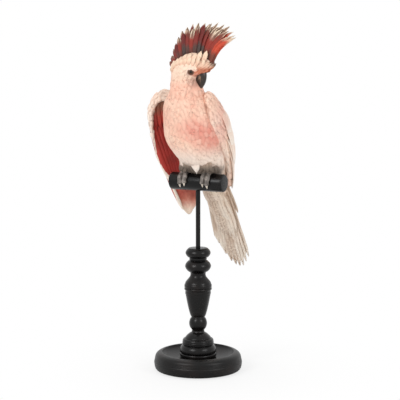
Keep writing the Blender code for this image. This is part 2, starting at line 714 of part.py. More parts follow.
def base_screw(group, helpers, finish):
    """A slotted screw in the base's counterbore, up into the column's pilot hole."""
    head_top = BASE_BOTTOM + COUNTERBORE_DEPTH - GAP
    head_bottom = head_top - SCREW_HEAD_HEIGHT
    tip = head_top + SCREW_LENGTH
    dome = quarter((SCREW_HEAD_RADIUS, head_top - SCREW_HEAD_HEIGHT * 0.4), (0, head_bottom), 3, True)
    profile = [(0, tip), (SCREW_SHANK_RADIUS * 0.7, tip - SCREW_SHANK_RADIUS)]
    profile += [(SCREW_SHANK_RADIUS, tip - 3 * SCREW_SHANK_RADIUS), (SCREW_SHANK_RADIUS, head_top)]
    profile += [(SCREW_HEAD_RADIUS, head_top)] + dome
    screw = turned("base_screw", profile, 12, group, finish)
    slot = bmesh.new()
    bmesh.ops.create_cube(slot, size=1)
    sizes = (SCREW_HEAD_RADIUS * 3, SCREW_SLOT_WIDTH, SCREW_SLOT_DEPTH * 2)
    bmesh.ops.scale(slot, vec=sizes, verts=slot.verts)
    data = bpy.data.meshes.new("slot_cutter")
    slot.to_mesh(data)
    slot.free()
    cutter = hide_helper(add_object("slot_cutter", data, helpers))
    cutter.location.z = head_bottom
    cut = screw.modifiers.new("slot", "BOOLEAN")
    cut.operation = "DIFFERENCE"
    cut.object = cutter
    return screw


def main():
    clear_scene()
    parts = collection("cockatoo_figurine")
    helpers = collection("cutters_and_forms")
    black = material("satin_black_paint", (0.018, 0.017, 0.018), 0.42)
    steel = material("blackened_steel", (0.02, 0.02, 0.022), 0.38, 0.6)
    zinc = material("zinc_plate", (0.55, 0.55, 0.56), 0.35, 1.0)
    felt = material("black_felt", (0.03, 0.03, 0.032), 0.95)
    feathers = material("painted_resin", (0.78, 0.52, 0.42), 0.6)
    cylinder("base_felt", FELT_RADIUS, 0, FELT_THICKNESS, BASE_SIDES, parts, felt)
    turned("base_disc", base_profile(), BASE_SIDES, parts, black)
    base_screw(parts, helpers, zinc)
    turned("column", column_profile(), COLUMN_SIDES, parts, black)
    rod_bottom = COLUMN_TOP - ROD_IN_COLUMN
    rod_top = PERCH_AXIS - PERCH_RADIUS + ROD_IN_PERCH
    cylinder("stem_rod", ROD_RADIUS, rod_bottom, rod_top, 20, parts, steel)
    perch_bar(parts, helpers, black)
    bird(parts, helpers, feathers)


main()
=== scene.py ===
# %% [markdown]
# # A painted cockatoo on a turned stand
# The object is a cast resin bird that grips a short bar. The bar sits on a thin rod, the rod on a
# turned column, and the column on a round base with felt under it. This notebook dresses the
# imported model: smooth turnings for the stand, a sculpted skin and laid feathers for the bird, and
# painted finishes for all of them.

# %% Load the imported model
import math
import random

import bmesh
import bpy
import numpy as np
from mathutils import Matrix, Vector
from mathutils.bvhtree import BVHTree


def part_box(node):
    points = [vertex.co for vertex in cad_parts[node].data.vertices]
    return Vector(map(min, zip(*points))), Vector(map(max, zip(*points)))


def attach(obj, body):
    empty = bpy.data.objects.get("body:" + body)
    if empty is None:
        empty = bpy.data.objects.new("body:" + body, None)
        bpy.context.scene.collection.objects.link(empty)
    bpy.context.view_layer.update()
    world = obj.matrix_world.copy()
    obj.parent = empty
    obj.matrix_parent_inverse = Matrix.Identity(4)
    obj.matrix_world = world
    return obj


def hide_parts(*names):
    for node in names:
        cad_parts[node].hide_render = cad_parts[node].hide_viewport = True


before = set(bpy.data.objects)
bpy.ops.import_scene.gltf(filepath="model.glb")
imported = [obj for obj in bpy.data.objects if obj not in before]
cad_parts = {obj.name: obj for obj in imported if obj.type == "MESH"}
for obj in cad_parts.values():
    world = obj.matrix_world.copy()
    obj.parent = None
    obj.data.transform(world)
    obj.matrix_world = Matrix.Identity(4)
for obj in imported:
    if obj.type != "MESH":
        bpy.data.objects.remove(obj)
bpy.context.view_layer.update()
print("nodes:", sorted(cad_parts))

# %% [markdown]
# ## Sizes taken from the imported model
# Everything is placed from the solids that are already there, so the bird still sits on its bar
# if the stand is made taller. Only the perch, column and base boxes are needed for that.

# %% Heights and radii of the stand
MM = 0.001
perch_low, perch_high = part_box("perch_bar")
column_low, column_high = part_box("column")
base_low, base_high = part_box("base_disc")
rod_low, rod_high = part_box("stem_rod")
felt_low, felt_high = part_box("base_felt")

perch_radius = (perch_high.z - perch_low.z) / 2
perch_axis = (perch_high.z + perch_low.z) / 2
perch_top = perch_high.z
print(f"perch bar: radius {perch_radius / MM:.1f} mm, axis at {perch_axis / MM:.1f} mm")

# %% [markdown]
# ## Working by hand, in code
# Each form starts as a Blender primitive and is shaped in edit mode. An operator acts on all that
# is selected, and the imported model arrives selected, so every new form starts by deselecting.
# When a form is done its transform is applied, which leaves its object at the origin.

# %% Starting and finishing a form


def fresh_start():
    """Leave edit mode and deselect everything."""
    if bpy.context.mode != "OBJECT":
        bpy.ops.object.mode_set(mode="OBJECT")
    bpy.ops.object.select_all(action="DESELECT")


def select_only(*objects):
    fresh_start()
    for obj in objects:
        obj.select_set(True)
    bpy.context.view_layer.objects.active = objects[0]


def settle(obj):
    """Put the object's place into its mesh, and shade it smooth."""
    select_only(obj)
    bpy.ops.object.transform_apply(location=True, rotation=True, scale=True)
    bpy.ops.object.shade_smooth()
    return obj


def join(name, objects):
    select_only(*objects)
    if len(objects) > 1:
        bpy.ops.object.join()
    objects[0].name = name
    objects[0].data.name = name
    return objects[0]


def apply_modifier(obj, kind, **settings):
    select_only(obj)
    modifier = obj.modifiers.new(kind.lower(), kind)
    for key, value in settings.items():
        setattr(modifier, key, value)
    bpy.ops.object.modifier_apply(modifier=modifier.name)


def triangles(obj):
    obj.data.calc_loop_triangles()
    return len(obj.data.loop_triangles)


def dress(obj, material, node):
    """Give a finished form its paint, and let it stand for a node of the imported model."""
    obj.data.materials.clear()
    obj.data.materials.append(material)
    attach(obj, "root")
    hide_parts(node)
    print(f"{obj.name}: {triangles(obj)} triangles for {node}")
    return obj


# %% [markdown]
# ## Paint as formulas
# The finishes are procedural. One small class wraps a shader socket and overloads the arithmetic
# operators, so that a mask reads as a formula and each operator adds its own Math node. Colours
# are mixed with Mix nodes, because a Math node would turn a colour grey.

# %% A shader socket that does arithmetic


class Value:
    """A socket in a material. Arithmetic on it adds Math nodes."""

    def __init__(self, tree, socket):
        self.tree = tree
        self.socket = socket

    def math(self, operation, *others, clamp=False, first=None):
        node = self.tree.nodes.new("ShaderNodeMath")
        node.operation = operation
        node.use_clamp = clamp
        values = ([] if first is None else [first]) + [self, *others]
        for slot, value in zip(node.inputs, values):
            if isinstance(value, Value):
                self.tree.links.new(value.socket, slot)
            else:
                slot.default_value = value
        return Value(self.tree, node.outputs[0])

    def __add__(self, other):
        return self.math("ADD", other)

    __radd__ = __add__

    def __sub__(self, other):
        return self.math("SUBTRACT", other)

    def __rsub__(self, other):
        return self.math("SUBTRACT", first=other)

    def __mul__(self, other):
        return self.math("MULTIPLY", other)

    __rmul__ = __mul__

    def __truediv__(self, other):
        return self.math("DIVIDE", other)

    def __pow__(self, other):
        return self.math("POWER", other)

    def fraction(self):
        return self.math("FRACT")

    def absolute(self):
        return self.math("ABSOLUTE")

    def root(self):
        return self.math("SQRT")

    def most(self, other):
        return self.math("MAXIMUM", other)

    def clamped(self):
        return self.math("ADD", 0.0, clamp=True)


# %% A finish, which is a material and the nodes in it


def srgb(red, green, blue):
    """A colour as a picture editor shows it, 0 to 255, in the linear numbers that shaders use."""
    out = []
    for value in (red / 255, green / 255, blue / 255):
        out.append(value / 12.92 if value <= 0.04045 else ((value + 0.055) / 1.055) ** 2.4)
    return (*out, 1.0)


class Finish:
    """A Principled material, with short calls for the nodes that these paints use."""

    def __init__(self, name, roughness=0.5, **fixed):
        self.material = bpy.data.materials.new(name)
        self.material.use_nodes = True
        self.tree = self.material.node_tree
        self.shader = self.tree.nodes["Principled BSDF"]
        self.shader.inputs["Roughness"].default_value = roughness
        for key, value in fixed.items():
            self.shader.inputs[key.replace("_", " ").title()].default_value = value
        where = self.tree.nodes.new("ShaderNodeTexCoord")
        self.place = where.outputs["Object"]
        self.unwrapped = where.outputs["UV"]

    def node(self, kind, settings=(), inputs=(), output=0):
        """Any node: its settings first, then the values or links of its sockets."""
        node = self.tree.nodes.new(kind)
        for key, value in dict(settings).items():
            setattr(node, key, value)
        for key, value in dict(inputs).items():
            if isinstance(value, Value):
                self.tree.links.new(value.socket, node.inputs[key])
            elif isinstance(value, bpy.types.NodeSocket):
                self.tree.links.new(value, node.inputs[key])
            else:
                node.inputs[key].default_value = value
        return Value(self.tree, node.outputs[output])

    def axes(self, source=None):
        """The three coordinates of a place, in metres, or of a UV map."""
        node = self.tree.nodes.new("ShaderNodeSeparateXYZ")
        self.tree.links.new(source or self.place, node.inputs[0])
        return [Value(self.tree, out) for out in node.outputs]

    def vector(self, operation, first, second, output=0):
        """Vector arithmetic on two places, or on a place and a number to scale it by."""
        slot = "Scale" if operation == "SCALE" else 1
        settings = {"operation": operation}
        return self.node("ShaderNodeVectorMath", settings, {0: first, slot: second}, output)

    def stretched(self, x, y, z):
        return self.vector("MULTIPLY", self.place, (x, y, z)).socket

    def noise(self, scale, detail=3.0, rough=0.5, at=None):
        inputs = {"Vector": at or self.place, "Scale": scale, "Detail": detail, "Roughness": rough}
        return self.node("ShaderNodeTexNoise", (), inputs)

    def ease(self, value, low, high):
        """0 below low, 1 above high, and a smooth step between."""
        inputs = {"Value": value, "From Min": low, "From Max": high}
        return self.node("ShaderNodeMapRange", {"interpolation_type": "SMOOTHSTEP"}, inputs)

    def fade(self, value, low, high):
        """1 below low, 0 above high, and a smooth step between."""
        return 1 - self.ease(value, low, high)

    def near(self, point, inner, outer):
        """1 within the inner radius of a point, falling to 0 at the outer one."""
        return self.fade(self.vector("DISTANCE", self.place, tuple(point), "Value"), inner, outer)

    def beside(self, points, inner, outer):
        """1 within the inner distance of a line of points, falling to 0 at the outer one."""
        shade = None
        for a, b in zip(points, points[1:]):
            run = b - a
            share = (self.along(run.normalized(), a) / (run.length / MM)).clamped()
            foot = self.vector("ADD", self.vector("SCALE", tuple(run), share), tuple(a))
            near = self.fade(self.vector("DISTANCE", self.place, foot, "Value"), inner, outer)
            shade = near if shade is None else shade.most(near)
        return shade

    def attribute(self, name):
        return self.node("ShaderNodeAttribute", {"attribute_name": name}, (), "Fac")

    def along(self, direction, origin):
        """How far a place lies from an origin along a direction, in mm."""
        offset = self.vector("SUBTRACT", self.place, tuple(origin))
        return self.vector("DOT_PRODUCT", offset, tuple(direction), "Value") * 1000

    def mix(self, mask, under, over):
        """The first colour where the mask is 0, and the second where it is 1."""
        return self.node("ShaderNodeMix", {"data_type": "RGBA"}, {0: mask, 6: under, 7: over}, 2)

    def coats(self, paint, *coats):
        """Coats over a first colour. Each is its mask and then its red, green and blue."""
        for mask, *shade in coats:
            paint = self.mix(mask, paint, srgb(*shade))
        return paint

    def colour(self, value):
        self.tree.links.new(value.socket, self.shader.inputs["Base Color"])

    def roughness(self, value):
        self.tree.links.new(value.socket, self.shader.inputs["Roughness"])

    def relief(self, height, depth):
        """Raise the surface by a height of 0 to 1, times a depth in metres."""
        inputs = {"Height": height, "Distance": depth, "Strength": 1.0}
        bump = self.node("ShaderNodeBump", (), inputs)
        self.tree.links.new(bump.socket, self.shader.inputs["Normal"])


# %% [markdown]
# ## The turned stand
# The column and the base were made on a lathe, so each is one outline spun about the axis. The
# outline is drawn as a line of points from the mouldings' own sizes: a bead swells and returns, a
# cove is a quarter of an ellipse. Spin then sweeps it, and doubles at the seam are merged. A
# Screw modifier would do the same, but spin leaves a plain mesh that can be looked at directly.

# %% Mouldings as points


def bead(neck, peak, bottom, height, steps=14, fullness=2.4):
    """A ring that leaves its neck, swells to its peak and comes back."""
    points = []
    for i in range(steps + 1):
        t = -math.cos(math.pi * i / steps)
        swell = max(0.0, 1 - abs(t) ** fullness) ** (1 / fullness)
        points.append((neck + (peak - neck) * swell, bottom + height * (t + 1) / 2))
    return points


def quarter(start, end, convex, steps=8):
    """A quarter of an ellipse between two points, upright at the first one if it is convex."""
    points = []
    for i in range(steps + 1):
        a = math.pi / 2 * i / steps
        along, rise = (1 - math.cos(a), math.sin(a)) if convex else (math.sin(a), 1 - math.cos(a))
        points.append((start[0] + (end[0] - start[0]) * along, start[1] + (end[1] - start[1]) * rise))
    return points


def ogee(start, end, steps=16):
    """An S between two points, upright at both."""
    points = []
    for i in range(steps + 1):
        t = i / steps
        swing = (1 - math.cos(math.pi * t)) / 2
        points.append((start[0] + (end[0] - start[0]) * swing, start[1] + (end[1] - start[1]) * t))
    return points


def spun(name, outline, steps=96):
    """An outline of (radius, height) in mm, spun about the Z axis."""
    mesh = bpy.data.meshes.new(name)
    points = [(radius * MM, 0, height * MM) for radius, height in outline]
    mesh.from_pydata(points, [(i, i + 1) for i in range(len(points) - 1)], [])
    obj = bpy.data.objects.new(name, mesh)
    bpy.context.scene.collection.objects.link(obj)
    select_only(obj)
    bpy.ops.object.mode_set(mode="EDIT")
    bpy.ops.mesh.select_all(action="SELECT")
    bpy.ops.mesh.spin(steps=steps, angle=2 * math.pi, center=(0, 0, 0), axis=(0, 0, 1))
    bpy.ops.mesh.select_all(action="SELECT")
    bpy.ops.mesh.remove_doubles(threshold=0.00001)
    bpy.ops.mesh.normals_make_consistent(inside=False)
    return settle(obj)


# %% The column's outline, from its foot to its top


LINE_CUT = 0.4  # mm, the depth of a fine turned line and half its width


def incised(radius, height):
    """A fine line cut into a round face."""
    return [
        (radius, height - LINE_CUT), (radius - LINE_CUT, height), (radius, height + LINE_CUT)
    ]


z = column_low.z / MM
column_outline = [(3, z), (24.2, z), (24.6, z + 0.4)]
column_outline += bead(26.4, 28.8, z + 0.5, 6.9, 14)
column_outline += [(26.2, z + 7.7), (26.4, z + 8.1)]
column_outline += quarter((28.5, z + 8.6), (23.8, z + 19.2), True, 12)
column_outline += [(23.4, z + 19.6), (24.2, z + 20.3), (24.6, z + 21.4)]
column_outline += incised(24.7, z + 23.0) + incised(24.4, z + 25.4)
column_outline += quarter((24.2, z + 26.2), (20.8, z + 29.8), True, 8)
column_outline += [(20.4, z + 30.0)]
column_outline += bead(9.9, 20.6, z + 20.5, 19.2, 30, 1.28)[15:]
column_outline += bead(9.8, 14.0, z + 44.5, 18.8, 22, 1.75)[:-3]
VASE_STEPS = 16
for i in range(VASE_STEPS + 1):
    t = i / VASE_STEPS
    column_outline.append((10.2 + 9.4 * t**0.68, z + 63.4 + 36.9 * t))
column_outline += [(19.5, z + 100.7), (20.1, z + 101.2), (20.0, z + 104.0), (19.5, z + 106.4)]
column_outline += bead(20.2, 21.5, z + 106.9, 3.7, 8) + bead(20.7, 21.4, z + 110.8, 5.0, 8)
column_outline += ogee((20.5, z + 116.0), (11.9, z + 131.2))
column_outline += bead(12.1, 20.3, z + 135.0, 19.0, 24, 1.6)[:-1]
column_outline += [(13.2, z + 154.2), (13.7, z + 155.8), (13.2, z + 157.4)]
column_outline += bead(13.2, 19.6, z + 157.8, 15.0, 22, 1.6)[:-3]
column_outline += [(15.4, z + 171.7), (15.3, z + 172.3), (14.5, z + 172.8), (3.9, z + 172.8)]
shift = column_high.z / MM - column_outline[-1][1]
stretch = (column_high.z - column_low.z) / MM / (column_outline[-1][1] - z)
column_outline = [(radius, z + (height - z) * stretch) for radius, height in column_outline]
print(f"{len(column_outline)} points, stretched by {stretch:.3f} to the packed column")
column = spun("turned_column", column_outline)

# %% The base's outline, with three fine grooves under its shoulder
low = base_low.z / MM
top = base_high.z / MM
seat = column_low.z / MM - 0.3
screw_hole, counterbore, counterbore_depth = 2.7, 8.0, 5.5
dish, crest_of_rim, grooves = 27.0, 56.0, 3
base_outline = [(screw_hole, seat), (dish, seat)]
base_outline += quarter((dish, seat), (crest_of_rim, top), False, 16)[1:]
base_outline += quarter((67.3, top - 8.0), (crest_of_rim, top), True, 12)[-2::-1]
for i in range(grooves):
    groove = top - 8.4 - 1.9 * i
    edge = 67.6 + 0.35 * i
    base_outline += [(edge, groove), (edge - 0.8, groove - 0.45), (edge + 0.1, groove - 0.9)]
base_outline += [(68.8, top - 14.4)]
base_outline += quarter((69.0, low + 11.5), (65.0, low), True, 12)
base_outline += [(counterbore, low), (counterbore, low + counterbore_depth)]
base_outline += [(screw_hole, low + counterbore_depth), (screw_hole, seat)]
base = spun("turned_base", base_outline, 128)
print(f"base: {2 * max(radius for radius, _ in base_outline):.0f} mm across")

# %% [markdown]
# ## Rod, perch bar and felt
# These are plain stock, so each is a cylinder primitive. What tells a real one from a stand-in is
# its edges: the bar's ends are rounded over with a wide bevel, and rod and felt have only their
# sharp edge taken off.

# %% Rod and bar


def round_stock(name, radius, length, centre, along_x=False, edge=0.0, steps=64):
    fresh_start()
    bpy.ops.mesh.primitive_cylinder_add(
        vertices=steps, radius=radius, depth=length, location=centre, end_fill_type="NGON"
    )
    obj = bpy.context.active_object
    obj.name = obj.data.name = name
    if along_x:
        obj.rotation_euler.y = math.pi / 2
    settle(obj)
    if edge:
        apply_modifier(obj, "BEVEL", width=edge, segments=5, limit_method="ANGLE", angle_limit=1.0)
    bpy.ops.object.shade_smooth_by_angle(angle=math.radians(50))
    return obj


def stock_between(name, low, high, **kwargs):
    """Round stock that fills the box of a node."""
    size = high - low
    centre = (low + high) / 2
    if kwargs.get("along_x"):
        return round_stock(name, size.z / 2, size.x, centre, **kwargs)
    return round_stock(name, size.x / 2, size.z, centre, **kwargs)


rod = stock_between("steel_rod", rod_low, rod_high, edge=0.4 * MM, steps=48)
bar = stock_between("round_bar", perch_low, perch_high, along_x=True, edge=2.6 * MM, steps=96)
felt = stock_between("felt_disc", felt_low, felt_high, edge=0.3 * MM, steps=128)
print("rod, bar and felt fill the boxes of their nodes")

# %% [markdown]
# ## The bird's own measures
# The bird is described as a maker would lay out an armature: sections along the body's curve,
# sections down the head, and the two edges of each wing. X, Y and height are in mm, with the height
# counted from the top of the perch bar, so the feet always meet it.

# %% Body, head and wing sections
BODY = (  # X, Y, height, half width, half depth
    (-4, -35, 153, 9, 12),
    (-4, -36, 144, 18, 20),
    (-1, -38, 129, 22.5, 26),
    (-2.5, -34, 111, 35, 31),
    (0, -23, 87, 43.5, 38),
    (0, -12, 62, 46, 41),
    (3, 0, 40, 40.5, 37),
    (5, 13, 18, 34, 27),
    (4, 31, -3, 27, 20),
    (3, 50, -23, 20, 12),
    (2, 62, -42, 14, 7),
    (2, 66, -50, 6, 3),
)
HEAD = (  # up, forward, half length, half width, in the head's own frame
    (27, 9, 5, 4),
    (24.5, 8, 12, 9),
    (19, 6.5, 19.5, 16),
    (11, 4.5, 26, 21.5),
    (5, 2, 29.5, 24),
    (-1, 0, 27.5, 24.5),
    (-7, -3.5, 23.5, 24),
    (-14, -6, 22, 23),
    (-22, -5, 24.5, 23),
    (-31, -3.2, 26, 24),
    (-38, -2.6, 25.5, 23),
    (-44, -4, 18, 18),
)
OPEN_WING = (  # leading edge, trailing edge, thickness, camber
    (-46, -6, 124, -30, -4, 118, 5.0, 1),
    (-60, -8, 125, -28, -2, 112, 8.0, 3),
    (-73, -10, 118, -26, 3, 104, 8.5, 5),
    (-80.5, -11, 98, -25, 9, 94, 8.0, 7),
    (-82, -6, 74, -24, 17, 80, 7.0, 8),
    (-81.5, 4, 48, -23, 28, 50, 6.0, 8),
    (-78, 15, 16, -23, 37, 20, 5.2, 7),
    (-68, 22, -7, -25, 42, -10, 4.6, 6),
    (-57, 26, -31, -26, 42, -32, 4.0, 4),
    (-47, 28, -54, -25, 38, -54, 3.4, 2),
    (-42, 30, -63, -27, 36, -62, 2.4, 1),
)
FOLDED_WING = (
    (32, -34, 125, 27, -20, 127, 9, 0),
    (36, -39, 114, 28, -8, 118, 17, 1),
    (40, -39, 93, 33, 10, 100, 20, 2),
    (42, -30, 71, 34, 24, 78, 20, 3),
    (43, -15, 50, 33, 36, 57, 19, 3),
    (43, 3, 31, 31, 43, 37, 17, 3),
    (41, 19, 14, 29, 48, 17, 14, 2),
    (37, 33, -5, 27, 53, -4, 10, 1),
    (32, 46, -18, 26, 57, -19, 6, 0),
    (29, 56, -28, 26, 60, -30, 3, 0),
)


def spline(a, b, c, d, t):
    """A Catmull-Rom value between b and c."""
    bend = 2 * a - 5 * b + 4 * c - d
    return b + 0.5 * t * (c - a + t * (bend + t * (3 * (b - c) + d - a)))


def smooth_rows(rows, count):
    """Rows of numbers resampled along a smooth curve through them."""
    last = len(rows) - 1
    out = []
    for i in range(count):
        at = last * i / (count - 1)
        k = min(int(at), last - 1)
        around = (rows[max(k - 1, 0)], rows[k], rows[k + 1], rows[min(k + 2, last)])
        out.append([spline(*values, at - k) for values in zip(*around)])
    return out


# %% Places on the bird and on its turned head
HEAD_TURN = math.radians(88)
forward = Vector((math.sin(HEAD_TURN), -math.cos(HEAD_TURN), 0))
right = forward.cross(Vector((0, 0, 1)))
up = Vector((0, 0, 1))


def on_bird(x, y, height):
    return Vector((x * MM, y * MM, perch_top + height * MM))


head_centre = on_bird(3, -34, 158)


def on_head(ahead, above, aside=0.0):
    """A place on the head: mm forward, up, and towards the bird's right."""
    return head_centre + (forward * ahead + up * above + right * aside) * MM


print("head centre in mm:", [round(v / MM, 1) for v in head_centre])

# %% [markdown]
# ## Growing a form ring by ring
# A sculptor builds a body up in slices. Here a circle primitive is shaped to the first slice and
# extruded to each of the next ones. Extruding a lone face keeps it as the far end, so the form is
# closed all the way. Each vertex carries the number of its spoke, so the slices never twist.

# %% The ring-by-ring tool


def grown(name, rings):
    """A closed form through rings of points, each with the same number of them."""
    fresh_start()
    bpy.ops.mesh.primitive_circle_add(vertices=len(rings[0]), radius=0.01, fill_type="NGON")
    obj = bpy.context.active_object
    obj.name = obj.data.name = name
    bpy.ops.object.mode_set(mode="EDIT")
    bm = bmesh.from_edit_mesh(obj.data)
    spoke = bm.verts.layers.int.new("spoke")
    for i, vert in enumerate(bm.verts):
        vert[spoke] = i
        vert.co = rings[0][i]
    bpy.ops.mesh.select_all(action="SELECT")
    for ring in rings[1:]:
        bpy.ops.mesh.extrude_region_move()
        bm = bmesh.from_edit_mesh(obj.data)
        spoke = bm.verts.layers.int["spoke"]
        for vert in bm.verts:
            if vert.select:
                vert.co = ring[vert[spoke]]
        bmesh.update_edit_mesh(obj.data)
    bpy.ops.mesh.select_all(action="SELECT")
    bpy.ops.mesh.normals_make_consistent(inside=False)
    bpy.ops.object.mode_set(mode="OBJECT")
    obj.data.attributes.remove(obj.data.attributes["spoke"])
    return settle(obj)


def oval(centre, across, deep, sides, bow=None):
    """A ring of points: an ellipse on two half vectors, bowed off its plane if asked."""
    ring = []
    for i in range(sides):
        a = 2 * math.pi * i / sides
        point = centre + across * math.cos(a) + deep * math.sin(a)
        ring.append(point + bow * (1 - math.cos(a) ** 2) if bow else point)
    return ring


def tangents(points):
    ends = [points[0]] + list(points) + [points[-1]]
    return [(b - a).normalized() for a, b in zip(ends, ends[2:])]


def limb(name, points, radii, sides=14, side=Vector((1, 0, 0))):
    """A round form along a line of points, with a radius at each."""
    rings = []
    for point, way, radius in zip(points, tangents(points), radii):
        across = (side - way * side.dot(way)).normalized()
        rings.append(oval(point, across * radius, way.cross(across) * radius, sides))
    return grown(name, rings)


def ball(name, centre, sizes, turn=0.0, tilt=0.0):
    """A ball with three half sizes in mm, its nose turned about Z and tilted up."""
    fresh_start()
    bpy.ops.mesh.primitive_uv_sphere_add(segments=32, ring_count=16, radius=1)
    obj = bpy.context.active_object
    obj.name = obj.data.name = name
    obj.scale = [size * MM for size in sizes]
    obj.rotation_euler = (0, -tilt, turn)
    obj.location = centre
    return settle(obj)


# %% [markdown]
# ## The body's skin
# Torso, head, forehead and thighs are grown apart and joined. A voxel remesh then makes one skin
# of them, and smoothing lets the head flow into the neck as modelling clay would. The remesh costs
# the UV map, so the paint on the skin works from the place in space.

# %% Torso, head, forehead, thighs
body_rows = smooth_rows(BODY, 54)
body_line = [on_bird(*row[:3]) for row in body_rows]
body_ways = tangents(body_line)
sideways = Vector((1, 0, 0))
body_rings = [
    oval(point, sideways * row[3] * MM, way.cross(sideways) * row[4] * MM, 56)
    for point, way, row in zip(body_line, body_ways, body_rows)
]
torso = grown("torso", body_rings)

head_rings = [
    oval(on_head(ahead, above), forward * half_length * MM, right * half_width * MM, 48)
    for above, ahead, half_length, half_width in smooth_rows(HEAD, 34)
]
skull = grown("skull", head_rings)
nose_up = math.radians(44)
forehead = ball(
    "forehead", on_head(25, 5.5), (16.5, 11.5, 7), HEAD_TURN - math.pi / 2, nose_up
)
lumps = [torso, skull, forehead]
for side in (-1, 1):
    lumps.append(ball("thigh", on_bird(18 * side + 2, 0, 15), (14, 15, 16)))
    shin = [on_bird(19 * side + 1, 0, height) for height in (14, 8, 3)]
    lumps.append(limb("shin", shin, [11 * MM, 9.5 * MM, 7.5 * MM]))
skin = join("body_skin", lumps)
apply_modifier(skin, "REMESH", mode="VOXEL", voxel_size=1.15 * MM)
apply_modifier(skin, "SMOOTH", factor=0.5, iterations=12)
select_only(skin)
bpy.ops.object.shade_smooth()
print("body skin:", triangles(skin), "triangles")

# %% [markdown]
# ## Beak and eyes
# A cockatoo's upper bill is a deep hook that bulges forward and turns back under, with a short
# lower bill tucked behind it. The eye is a dark glassy bead in a ring of bare skin.

# %% Beak
UPPER_BILL = (  # forward, up, half depth, half width
    (15, 0, 8, 6.6),
    (19, -4.5, 10.4, 8.6),
    (20.2, -10.5, 9.6, 8.0),
    (20.4, -16.5, 7.8, 6.2),
    (19.4, -22.5, 4.8, 3.8),
    (17.2, -27.5, 1.4, 1.0),
)
LOWER_BILL = (
    (4, -11, 5, 6),
    (8, -16, 6, 7),
    (12, -21, 4.6, 5.4),
    (14, -25, 1.2, 1.8),
)


def bill(name, rows, keel, sides=28):
    """A bill through its sections, pinched to a keel along its ridge."""
    rings = []
    rows = smooth_rows(rows, 22)
    line = [on_head(row[0], row[1]) for row in rows]
    for point, way, row in zip(line, tangents(line), rows):
        depth = right.cross(way) * row[2] * MM
        ring = []
        for i in range(sides):
            a = 2 * math.pi * i / sides
            pinch = 1 - keel * max(0.0, math.cos(a)) ** 2
            ring.append(point + depth * math.cos(a) + right * row[3] * MM * math.sin(a) * pinch)
        rings.append(ring)
    return grown(name, rings)


beak = join("beak", [bill("upper_bill", UPPER_BILL, 0.25), bill("lower_bill", LOWER_BILL, 0.0)])
print("beak:", triangles(beak), "triangles")

# %% Eyes and the rings round them
EYE_RADIUS = 3.9  # mm
eyes = []
eye_rings = []
eye_places = []
for side in (-1, 1):
    place = on_head(14.2, -1, 19.6 * side)
    gaze = (forward * 0.55 + right * side * 0.83).normalized()
    eye_places.append((place, gaze))
    eyes.append(ball(f"eye_{side}", place, (EYE_RADIUS,) * 3))
    fresh_start()
    bpy.ops.mesh.primitive_torus_add(
        major_radius=(EYE_RADIUS + 0.4) * MM, minor_radius=0.8 * MM, major_segments=48, minor_segments=12
    )
    lid = bpy.context.active_object
    lid.name = "lid"
    lid.rotation_euler = gaze.to_track_quat("Z", "Y").to_euler()
    lid.location = place + gaze * 1.0 * MM
    eye_rings.append(settle(lid))
eye_pair = join("eyes", eyes)
lids = join("eye_rings", eye_rings)
print("eyes:", triangles(eye_pair), "triangles")

# %% [markdown]
# ## A feather, modelled once
# Every feather on the bird is a copy of one of five blanks: a long flight feather, a round covert,
# a crest blade, a pointed tuft and a small body feather. A blank is a grid, extruded to give it a
# thickness and then shaped row by row. Its UV map runs across and along the vane, so the paint
# knows where the shaft, the edges and the tip are. Each copy carries a tone of its own, since no
# two painted feathers are alike, and a share that says which part of the bird it belongs to.

# %% Feather blanks


def width_at(outline, t):
    """The width of an outline of (place, width) pairs, eased between them."""
    for (t0, w0), (t1, w1) in zip(outline, outline[1:]):
        if t <= t1:
            share = (t - t0) / (t1 - t0)
            return w0 + (w1 - w0) * share * share * (3 - 2 * share)
    return outline[-1][1]


def feather_blank(name, outline, along, across):
    """A feather 1 long and up to 1 wide, from y = 0 to y = 1, 1 thick at the root of its shaft."""
    fresh_start()
    bpy.ops.mesh.primitive_grid_add(x_subdivisions=across, y_subdivisions=along, size=1)
    obj = bpy.context.active_object
    obj.name = obj.data.name = name
    bpy.ops.object.mode_set(mode="EDIT")
    bpy.ops.mesh.select_all(action="SELECT")
    bpy.ops.mesh.extrude_region_move(TRANSFORM_OT_translate={"value": (0, 0, 1)})
    bpy.ops.mesh.select_all(action="SELECT")
    bpy.ops.mesh.normals_make_consistent(inside=False)
    bpy.ops.object.mode_set(mode="OBJECT")
    for vert in obj.data.vertices:
        x, y, z = vert.co
        t = math.sin((y + 0.5) * math.pi / 2) ** 1.15
        rim = (2 * abs(x)) ** 2
        thin = (1 - 0.75 * rim) * (1 - 0.6 * t)
        vert.co = (x * width_at(outline, t), t - 0.06 * rim * t, (z - 0.5) * thin)
    bpy.ops.object.shade_smooth()
    obj.hide_render = True
    obj.hide_viewport = True
    print(f"{name}: {len(obj.data.polygons)} faces")
    return obj


